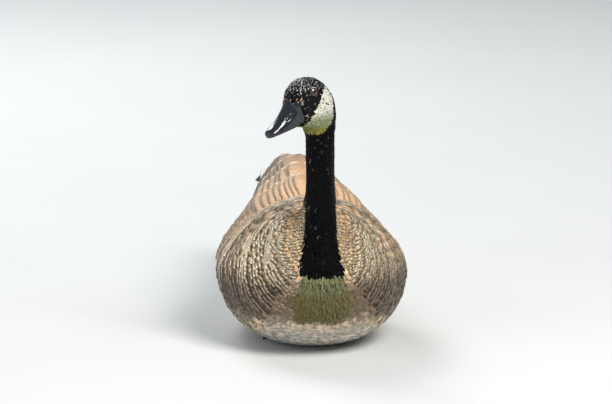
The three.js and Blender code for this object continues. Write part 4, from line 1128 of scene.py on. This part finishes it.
class GOOSE_OT_head_coat(bpy.types.Operator):
    """The head's finest feathers: black crown and face, white cheeks"""

    bl_idname = "goose.head_coat"
    bl_label = "Head coat"

    def execute(self, context):
        sizes, c = context.scene.goose_sizes, context.scene.goose_colours
        rng = random_draws(4)

        def row(section):
            return np.interp(section, [17, 20, 24, 27], [
                sizes.neck_row, sizes.head_row, sizes.head_row * 0.9, sizes.head_row * 0.72])

        t, angle = scatter(17.2, 26.98, 0.5 * np.pi, row, row, rng, 0.25)
        size = row(t)
        length = size * 2.6 + 0.0014
        here = flesh(t, angle)
        _, ends = shown_place(t, angle, length)
        white = cheek(ends) * smooth(t, 17, 17.3) >= rng.uniform(0.3, 0.7, len(t))
        horn = past_feathers(here)
        keep = ((t > 18.6) | white) & (horn < rng.normal(0, 0.25, len(t)))
        keep &= thinned(t, angle, np.pi / 2, 1.6, 0.2, rng)
        for side in (1, -1):
            centre, look = eye_place(side)
            for place in (here, ends):
                away = place - centre
                off = np.linalg.norm(away - (away @ look)[:, None] * look, axis=1)
                keep &= ~((off < EYE_OPENING) & (away @ look > 0))
        t, angle, ends, white, horn, length, size = [
            v[keep] for v in (t, angle, ends, white, horn, length, size)]
        base, edge = self.colours(ends, white, horn, np.array(c.black), np.array(c.white), rng)
        count = len(t)
        lift, draw, skew = rng.normal(0.0003, 0.00015, count), rng.random(count), rng.normal(0, 0.1, count)
        small_feathers("head_feathers", lie(flesh, t, angle, 0.05, 0.08), length, size * 1.6, lift,
                       np.full(count, 0.00012), (base, edge), draw, skin_uv(t, angle),
                       feather_kinds()["face_velvet"], sink=sizes.head_coat * 0.6, skew=skew)
        return {"FINISHED"}

    def colours(self, ends, white, horn, black, pale, rng):
        """Black with glints on the crown, a lighter line of feathers at the bill, and white cheeks that turn
        grey and then yellow downwards in painted shade and painted reflection of water, with a few dark
        specks"""
        count = len(ends)
        base, edge = tones(black, black * 3, count, rng, 0.25)
        ahead, up, _ = side_view(ends)
        crown = smooth(up, -2, 12) * smooth(ahead, -35, -15)
        glint = rng.random(count) < 0.6 * crown + 0.06
        edge[glint] = np.array([0.78, 0.78, 0.82]) * rng.random((glint.sum(), 1)) ** 1.5 * 1.7
        rim = (horn > -0.9) & (rng.random(count) < np.where(up > -9, 0.6, 0.16)) & (up > -34)
        base[rim] = np.array([0.30, 0.22, 0.16]) * rng.uniform(0.2, 1.2, (rim.sum(), 1))
        edge[rim] = np.array([0.62, 0.50, 0.38]) * rng.uniform(0.3, 1.1, (rim.sum(), 1))
        # Painted shade and painted reflection of water: the white cheeks turn grey-green and then
        # olive-yellow downwards.
        cheeks = mix(pale * 0.96, np.array([0.25, 0.28, 0.155]), smooth(-up, 17, 36))
        cheeks = mix(cheeks, np.array([0.235, 0.21, 0.045]), smooth(-up, 38, 48))
        cheeks = cheeks * rng.normal(1, 0.07, (count, 1))
        base[white], edge[white] = cheeks[white], (cheeks * 1.1)[white]
        speck = white & (rng.random(count) < 0.1 * smooth(up, -30, -10))
        base[speck], edge[speck] = black * 4, black * 2
        return np.clip(base, 0, 1), np.clip(edge, 0, 1)


# The eye's ball, how far from its axis the feathers end, and its turn forward of straight out. The lids' rim:
# half its width and height, how far out of the eye's centre it stands, and its thickness.
EYE_RADIUS = 0.0079
EYE_OPENING = 0.0072
EYE_FORWARD = np.radians(18)
LID_HALF = (0.0061, 0.0066)
LID_STANDS = 0.0056
LID_THICK = 0.0010
UPPER_LID_THICK = 0.0007


def eye_place(side):
    """The eye's centre and the way it looks."""
    facing = np.array([-np.sin(HEAD_TURN), -np.cos(HEAD_TURN), 0])
    across = np.array([np.cos(HEAD_TURN), -np.sin(HEAD_TURN), 0]) * side
    centre = head_place(*EYE_AT[:2], EYE_AT[2] * side)
    return centre, unit(across * np.cos(EYE_FORWARD) + facing * np.sin(EYE_FORWARD))


def sideways(look):
    """The ways to the right and to the top, seen along a direction."""
    right = unit(np.cross([0, 0, 1], look))
    return right, np.cross(look, right)


class GOOSE_OT_eyes(bpy.types.Operator):
    """Both eyes and their lids"""

    bl_idname = "goose.eyes"
    bl_label = "Eyes and lids"

    def execute(self, context):
        wet = eye_material()
        lid_skin = scale_material("lid_skin", (0.02, 0.017, 0.015), 1500.0, 0.45)
        # Painted highlight: the upper lid is a pale, lit copy of the dark lid skin.
        lit_lid = scale_material("upper_lid", (0.46, 0.34, 0.24), 1500.0, 0.5)
        for word, side in (("left", 1), ("right", -1)):
            centre, look = eye_place(side)
            self.ball(word, centre, look, wet)
            self.lid(f"lid_ring_{word}", centre, look, lid_skin)
            self.lid(f"upper_lid_{word}", centre + look * 0.0009, look, lit_lid, 0.14, 0.36)
        return {"FINISHED"}

    def ball(self, word, centre, look, material):
        """A sphere about the way it looks: rows by the angle away from it, columns by the turn round it"""
        rows, columns = 28, 40
        right, top = sideways(look)
        away, turn = np.meshgrid(np.linspace(0.0, np.pi, rows), ring_angles(columns), indexing="ij")
        flat = right * np.cos(turn)[..., None] + top * np.sin(turn)[..., None]
        points = centre + EYE_RADIUS * (look * np.cos(away)[..., None] + flat * np.sin(away)[..., None])
        eye = make_mesh(f"eyeball_{word}", points.reshape(-1, 3), tube_faces(rows, columns), material)
        set_vectors(eye.data, "gaze", np.stack([np.degrees(away), turn / FULL, 0 * away], -1).reshape(-1, 3))
        tidy(eye)
        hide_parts(f"eye_{word}")

    def lid(self, name, centre, look, material, start=0.0, stop=1.0):
        """A fleshy rim round the open eye: even and closed where it goes all the way round, or else thick at
        the middle of its way and thin at its ends, and a little outside the other"""
        whole = stop - start == 1
        rows, columns = 49, 12
        right, top = sideways(look)
        share = np.linspace(start, stop, rows)[:-1 if whole else None]
        way, turn = np.meshgrid(share * FULL, ring_angles(columns), indexing="ij")
        spread = right * np.cos(way)[..., None] * LID_HALF[0] + top * np.sin(way)[..., None] * LID_HALF[1]
        outward = unit(spread)
        middle = centre + look * LID_STANDS + spread
        thick = np.full(way.shape, LID_THICK)
        if not whole:
            middle = middle + outward * 0.0001
            swell = np.sin(np.pi * (way / FULL - start) / (stop - start))
            thick = UPPER_LID_THICK * swell ** 0.5 + 0.00005
        round_it = outward * np.cos(turn)[..., None] + look * np.sin(turn)[..., None] * 0.8
        points = middle + thick[..., None] * round_it
        tidy(make_mesh(name, points.reshape(-1, 3), tube_faces(len(share), columns, whole), material))


# The bill's halves in side view: each section's points on the top and the bottom line, ahead of and up from
# between the eyes, and its half width
UPPER_BILL = np.array([
    (24, -3, 8, -24, 16.0), (30.4, -8.8, 14, -28.5, 15.3), (36, -16.5, 24, -33, 13.6),
    (42.5, -24.5, 34.5, -36.7, 12.0), (50, -32, 44, -40.2, 10.9), (57, -37.6, 53, -43.5, 10.2),
    (62.3, -41.8, 60, -46.3, 8.4), (65, -44.8, 64, -48.3, 3.8),
])
LOWER_BILL = np.array([
    (8, -24.5, 6, -33, 12.2), (13.6, -29.2, 12.5, -38.3, 11.5), (24, -33.7, 22.5, -42, 10.9),
    (34.5, -37.4, 34, -44.8, 10.2), (44, -40.9, 44, -47, 9.6), (53, -44.2, 53.5, -49, 8.8),
    (59.5, -46.7, 60, -50.2, 7), (63.5, -48.5, 63.3, -50.1, 2.8),
])
# The roundness of the upper half's first sections and of all others
UPPER_ROUND = (2.7, 2.65, 2.45, 2.25)
BILL_ROUND = 2.25
# The nostril's middle, the cosine and sine of its slope, and half its length and height. The nail's and its
# groove's middle.
NOSTRIL_AT = (36.5, -26.0)
NOSTRIL_SLOPE = (0.78, 0.62)
NOSTRIL_HALF = (4.4, 1.9)
NAIL_AT = 61.5
GROOVE_AT = 61


def head_place(ahead, up, across):
    """A place on the head, from the middle between the eyes."""
    return turned(across, BETWEEN_EYES[0] - ahead, BETWEEN_EYES[1] + up, 1.0)


def bill_half(stations, over, rows=90, columns=49):
    """One half of the bill: in each section a half ring from edge to edge over the top (or under the
    bottom) line, across by cos^(2/n) and up by sin^(2/n). Gives ahead, up and across."""
    numbers = np.arange(len(stations), dtype=float)
    t = np.linspace(0, numbers[-1], rows)
    top_f, top_u, low_f, low_u, half = np.moveaxis(through(t, numbers, stations), -1, 0)
    roundness = np.interp(t, [0, 1, 2, 3], UPPER_ROUND) if over else np.full(rows, BILL_ROUND)
    angle = np.linspace(0, np.pi, columns)
    c, s = np.cos(angle), np.sin(angle)
    power = 2 / roundness[:, None]
    up, across = np.abs(s) ** power, np.sign(c) * np.abs(c) ** power
    start_f, start_u, stop_f, stop_u = (low_f, low_u, top_f, top_u) if over else (top_f, top_u, low_f, low_u)
    f = start_f[:, None] + (stop_f - start_f)[:, None] * up
    u = start_u[:, None] + (stop_u - start_u)[:, None] * up
    return f, u, half[:, None] * across


class GOOSE_OT_bill(bpy.types.Operator):
    """The bill: both halves, nostrils, nail and the toothed cutting edges"""

    bl_idname = "goose.bill"
    bl_label = "Bill"

    def execute(self, context):
        horn = horn_material()
        f, u, w = bill_half(UPPER_BILL, True)
        lateral = np.abs(w)
        ahead, up = f - NOSTRIL_AT[0], u - NOSTRIL_AT[1]
        cos, sin = NOSTRIL_SLOPE
        along, over = (ahead * cos - up * sin) / NOSTRIL_HALF[0], (ahead * sin + up * cos) / NOSTRIL_HALF[1]
        near = along ** 2 + over ** 2
        push = 0.35 * np.exp(-((near - 1.7) / 0.8) ** 2) - 2.4 * np.exp(-near ** 1.5)
        nail = 0.7 * np.exp(-(((f - NAIL_AT) / 4.6) ** 4 + (lateral / 5.0) ** 4))
        groove = 0.45 * np.exp(-(((lateral - 6.0) / 0.8) ** 2 + ((f - GROOVE_AT) / 6) ** 4))
        groove = groove * smooth(f, 52, 57)
        outer = head_place(f, u + nail - groove, w + np.sign(w) * push)
        self.close("bill_upper_horn", outer, horn, "bill_upper")
        self.close("bill_lower_horn", head_place(*bill_half(LOWER_BILL, False)), horn, "bill_lower")
        self.base(horn)
        self.teeth(horn)
        return {"FINISHED"}

    def close(self, name, outer, material, cad):
        """The half ring's edges are joined by a flat face across the mouth, and both ends are closed"""
        inner = np.linspace(0, 1, 9)[1:-1][None, :, None]
        ring = np.concatenate([outer, outer[:, -1:] * (1 - inner) + outer[:, :1] * inner], 1)
        thing = make_mesh(name, ring.reshape(-1, 3), tube_faces(*ring.shape[:2]), material)
        tidy(thing)
        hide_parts(cad)

    def base(self, material):
        """The horn over the front of the face: the head's own surface past the end of the feathers, raised by
        0.25 mm with a rounded rear rim, and closed by an inner face 1.4 mm below it"""
        angle = ring_angles(144)
        fine = np.linspace(22.5, LAST_SECTION, 240)
        bare = past_feathers(flesh(*np.meshgrid(fine, angle, indexing="ij"))) > 0
        first = fine[np.argmax(np.cumprod(bare[::-1], axis=0)[::-1], axis=0)]
        first = np.minimum(sum(np.roll(first, k) for k in (-2, -1, 0, 1, 2)) / 5, LAST_SECTION - 0.1)
        share = np.concatenate([np.linspace(0, 0.2, 8), np.linspace(0.3, 1, 8)])
        t = first + (LAST_SECTION - first) * share[:, None]
        around = np.broadcast_to(angle, t.shape)
        out = lie(flesh, np.minimum(t, LAST_SECTION - 0.03).ravel(), around.ravel(), 0.02, 0.03)["out"]
        out = out.reshape(*t.shape, 3)
        rise = -0.7 + 0.95 * np.sqrt(np.clip(share / 0.12, 0, 1)) - 0.8 * smooth(share, 0.6, 1)
        surface = flesh(t, around)
        ring = np.concatenate([surface + out * rise[:, None, None] * MM, (surface - out * 1.4 * MM)[::-1]])
        thing = make_mesh("bill_base", ring.reshape(-1, 3), tube_faces(*ring.shape[:2], True), material)
        tidy(thing)
        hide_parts("bill_upper")

    def teeth(self, material):
        """A row of fine ridges along each edge of the mouth, half sunk in the upper half: each a spindle of
        three rings"""
        count, corners = 26, 6
        rings = ((0.9, 0.25), (0.0, 0.55), (-0.8, 0.12))
        way = np.linspace(26, 58, count)
        edge_u = np.interp(way, UPPER_BILL[:, 2], UPPER_BILL[:, 3])
        half = np.interp(way, UPPER_BILL[:, 2], UPPER_BILL[:, 4])
        turn = ring_angles(corners)
        points = []
        for side in (1, -1):
            middle = head_place(way, edge_u + 0.1, side * (half - 0.6))[:, None]
            for lift, size in rings:
                ring = np.stack([np.cos(turn) * size, np.sin(turn) * size, 0 * turn + lift], -1)
                points.append(middle + ring * MM)
        stack = np.stack(points, 1).reshape(count, 2, len(rings), corners, 3)
        stack = np.moveaxis(stack, 1, 0).reshape(-1, 3)
        each = len(rings) * corners
        every = tube_faces(len(rings), corners) + (np.arange(count * 2) * each)[:, None, None]
        tidy(make_mesh("bill_edge_teeth", stack, every.reshape(-1, 4), material), 1e-7)


# Rows of feathers over and under the tail's root: the first row's Y and the distance between rows, the height
# of their middle line and its slope, how far they fall off sideways by a square and by a round, the share of
# the root's width that they cover, the tips' lean, and the vanes' width and bow
TAIL_COVERTS = {
    "upper_tail_coverts": {
        "rows": 4, "first_y": 236, "step": 12.0, "top": 153.5, "slope": -0.06, "drop": 3.08, "round_off": -7,
        "cover": 0.78, "lean": 1.0, "width": 17.0, "bow": -1.0},
    "under_tail_coverts": {
        "rows": 5, "first_y": 232, "step": 13.0, "top": 98.0, "slope": 0.45, "drop": -7.0, "round_off": 10,
        "cover": 1.0, "lean": 14.5, "width": 20.0, "bow": 1.2},
}
# Pairs of tail feathers, the Y, the height and the sideways distance of their roots, their length, and the
# length of the first row of coverts
TAIL_PAIRS = 9
TAIL_ROOT_Y = 284
TAIL_HEIGHT = 145.5
QUILL_STEP = 2.5
TAIL_REACH = 98
COVERT_LENGTH = 46


class GOOSE_OT_tail(bpy.types.Operator):
    """The black tail feathers and the white coverts over and under them"""

    bl_idname = "goose.tail"
    bl_label = "Tail"

    def execute(self, context):
        c = context.scene.goose_colours
        kinds = feather_kinds()
        black, white = np.array(c.black), np.array(c.white)
        rng = random_draws(5)
        i = np.repeat(np.arange(TAIL_PAIRS), 2)
        side = np.tile([1, -1], TAIL_PAIRS)
        turn = np.radians((i + 0.4) * 1.45) * side
        reach = TAIL_REACH * (1 - 0.0045 * i * i)
        level = -0.95 * (i + np.where(side > 0, 0, 0.5))
        roots = np.stack([side * (1.5 + QUILL_STEP * i), TAIL_ROOT_Y + 0 * i, TAIL_HEIGHT + level * 0.6], -1)
        tips = roots + np.stack([np.sin(turn) * reach, np.cos(turn) * reach, 0.07 * reach + level * 0.4], -1)
        thing = self.flat("tail_feathers", roots, tips, 25.0, -1.2, black * 2.2, black * 5, rng,
                          kinds["flight_feather"], 0.0009)
        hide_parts("tail")
        for name, plan in TAIL_COVERTS.items():
            self.coverts(name, white, rng, kinds["downy_feather"], **plan)
        self.stump(down_material("white_down", white * 0.7, white))
        return {"FINISHED"}

    def coverts(self, name, white, rng, material, rows, first_y, step, top, slope, drop, round_off, cover,
                lean, width, bow):
        """Rows of white feathers over a rounded root, every other row half a place along"""
        count = 9
        row, place = [g.ravel() for g in np.meshgrid(
            np.arange(rows), np.linspace(-1, 1, count) * cover, indexing="ij")]
        place = place + (row % 2) / count
        bent = np.clip(place, -1.1, 1.1)
        y = first_y + row * step
        x = np.interp(y, [232, 262, 300], [46, 34, 26]) * np.sin(bent * 1.35)
        z = top + (y - first_y) * slope - drop * place ** 2 + round_off * (1 - np.cos(bent * 1.2))
        roots = np.stack([x, y, z], -1)
        length = COVERT_LENGTH + 4 * row
        tips = roots + np.stack([x * 0.06, length, lean * length / COVERT_LENGTH], -1)
        self.flat(name, roots, tips, width, bow, white, white * 1.05, rng, material, 0.0007)

    def stump(self, material):
        """The fleshy root of the tail, from the body's last section to a flat edge among the quills: an
        ellipse with its sides drawn out, which narrows and rises on its way back"""
        rows, columns = 24, 48
        t, angle = np.linspace(0, 1, rows)[:, None], ring_angles(columns)[None]
        top, low = 152.5 - 5 * t, 108 + 31 * t ** 0.7
        x = (34.5 - 3 * t) * np.sign(np.cos(angle)) * np.abs(np.cos(angle)) ** 0.93
        z = (top + low) / 2 + (top - low) / 2 * np.sin(angle)
        points = np.stack([x, 256 + 52 * t + 0 * x, z], -1) * MM
        thing = make_mesh("tail_root", points.reshape(-1, 3), tube_faces(rows, columns), material)
        tidy(thing)
        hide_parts("tail")

    def flat(self, name, roots, tips, width, bow, base, edge, rng, material, thick):
        """Straight vanes from root to tip, bowed across by bow times c^2."""
        count = len(roots)
        shape = np.interp(LONG_ROWS, [0, 0.15, 0.5, 0.8, 0.9, 0.965, 1],
                          [0.5, 0.75, 1, 0.97, 0.85, 0.62, 0.3])
        reach = tips - roots
        along = unit(reach)
        across = unit(np.cross([0, 0, 1.0], along))
        start, way, aside, out = [v[:, None, None] for v in (roots, reach, across, np.cross(along, across))]
        s, c = LONG_ROWS[None, :, None, None], LONG_COLUMNS[None, None, :, None]
        half = width / 2
        top = start + way * s + aside * c * shape[None, :, None, None] * half
        top = (top + out * (bow * c * c * s)) * MM
        colours = tones(base, edge, count, rng)
        uv = 0.1 + 0.8 * (roots[:, :2] + [60, -220]) / 120
        return plume_object(name, top, np.broadcast_to(out, top.shape), np.full(count, thick),
                            np.linalg.norm(reach, axis=1) * MM, np.full(count, half * MM),
                            (LONG_ROWS, LONG_COLUMNS, shape), colours, rng.random(count),
                            np.clip(uv, 0.01, 0.99), material)


class GOOSE_OT_feet(bpy.types.Operator):
    """Scaly skin on the solid legs and webbed feet, which keep their own shape"""

    bl_idname = "goose.feet"
    bl_label = "Legs and feet"

    def execute(self, context):
        skin = scale_material("scaly_skin", context.scene.goose_colours.foot, 520.0, 0.55)
        for name in ("leg_left", "leg_right", "foot_left", "foot_right"):
            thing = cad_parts[name]
            thing.data.materials.clear()
            thing.data.materials.append(skin)
        return {"FINISHED"}


# The floor's half side and its two tones, the place that the camera looks at, and the place that is lit
FLOOR_HALF = 12.0
FLOOR_TONES = ((0.56, 0.585, 0.60), (0.60, 0.62, 0.63))
LOOK_AT = Vector((-0.0147, -0.150, 0.1995))
LIT_PLACE = Vector((0, -0.05, 0.15))
# Soft square lights: place, watts, side and colour
LIGHTS = {
    "key": ((1.3, -2.6, 2.7), 200, 1.6, (1.0, 0.955, 0.88)),
    "fill": ((-2.8, -2.0, 1.4), 34, 2.4, (0.90, 0.95, 1.0)),
    "rim": ((-1.0, 2.6, 2.4), 90, 1.6, (1.0, 0.99, 0.97)),
}
SKY = (0.85, 0.89, 0.94, 1)
SKY_STRENGTH = 0.36


class GOOSE_OT_stage(bpy.types.Operator):
    """The floor, the soft lights and the camera"""

    bl_idname = "goose.stage"
    bl_label = "Stage"

    def execute(self, context):
        scene = context.scene
        self.floor(scene)
        self.camera(scene, scene.goose_stage)
        self.lights(scene)
        scene.view_settings.view_transform = "Standard"
        return {"FINISHED"}

    def floor(self, scene):
        """A wide flat square in a faintly mottled grey"""
        material, tree, shader = new_material("floor", 0.85, 0.15)
        add_colour(tree, shader, blend_colours(tree, noise(tree, own_place(tree), 3.0, 2.0), *FLOOR_TONES))
        mesh = bpy.data.meshes.new("floor")
        corners = [(x * FLOOR_HALF, y * FLOOR_HALF, 0) for x, y in ((-1, -1), (1, -1), (1, 1), (-1, 1))]
        mesh.from_pydata(corners, [], [(0, 1, 2, 3)])
        mesh.materials.append(material)
        floor = bpy.data.objects.new("floor", mesh)
        scene.collection.objects.link(floor)

    def camera(self, scene, stage):
        """A long lens, turned about the place that it looks at"""
        azimuth, elevation = np.radians(stage.azimuth), np.radians(stage.elevation)
        flat = np.cos(elevation)
        back = Vector((np.sin(azimuth) * flat, -np.cos(azimuth) * flat, np.sin(elevation)))
        camera = bpy.data.objects.new("camera", bpy.data.cameras.new("camera"))
        camera.data.lens = stage.lens
        camera.data.sensor_width = 36
        camera.data.clip_end = 60
        camera.location = LOOK_AT + back * stage.distance
        camera.rotation_euler = back.to_track_quat("Z", "Y").to_euler()
        scene.collection.objects.link(camera)
        scene.camera = camera

    def lights(self, scene):
        """The soft lights and an even sky"""
        for name, (place, watts, side, colour) in LIGHTS.items():
            light = bpy.data.lights.new(name, "AREA")
            light.energy, light.size, light.color = watts, side, colour
            lamp = bpy.data.objects.new(name, light)
            lamp.location = place
            lamp.rotation_euler = (Vector(place) - LIT_PLACE).to_track_quat("Z", "Y").to_euler()
            scene.collection.objects.link(lamp)
        world = bpy.data.worlds.new("studio")
        world.use_nodes = True
        sky = world.node_tree.nodes["Background"].inputs
        sky["Color"].default_value = SKY
        sky["Strength"].default_value = SKY_STRENGTH
        scene.world = world


class GOOSE_PT_panel(bpy.types.Panel):
    """Lists the bird's pieces in the order that they are built"""

    bl_idname = "GOOSE_PT_panel"
    bl_label = "Canada goose"
    bl_space_type = "VIEW_3D"
    bl_region_type = "UI"
    bl_category = "Goose"

    def draw(self, context):
        for group in (context.scene.goose_sizes, context.scene.goose_colours, context.scene.goose_stage):
            for name in group.bl_rna.properties.keys():
                if name not in ("rna_type", "name"):
                    self.layout.prop(group, name)
        for piece in PIECES:
            self.layout.operator(piece.bl_idname)


PIECES = (
    GOOSE_OT_skin, GOOSE_OT_wings, GOOSE_OT_body_coat, GOOSE_OT_neck_coat, GOOSE_OT_head_coat, GOOSE_OT_eyes,
    GOOSE_OT_bill, GOOSE_OT_tail, GOOSE_OT_feet, GOOSE_OT_stage,
)
GROUPS = {"goose_sizes": GooseSizes, "goose_colours": GooseColours, "goose_stage": GooseStage}


def register():
    for made in (*GROUPS.values(), *PIECES, GOOSE_PT_panel):
        bpy.utils.register_class(made)
    for name, group in GROUPS.items():
        setattr(bpy.types.Scene, name, PointerProperty(type=group))


def unregister():
    for name in GROUPS:
        delattr(bpy.types.Scene, name)
    for made in reversed((*GROUPS.values(), *PIECES, GOOSE_PT_panel)):
        bpy.utils.unregister_class(made)


def main():
    register()
    for piece in PIECES:
        area, name = piece.bl_idname.split(".")
        getattr(getattr(bpy.ops, area), name)()


if __name__ == "__main__":
    main()
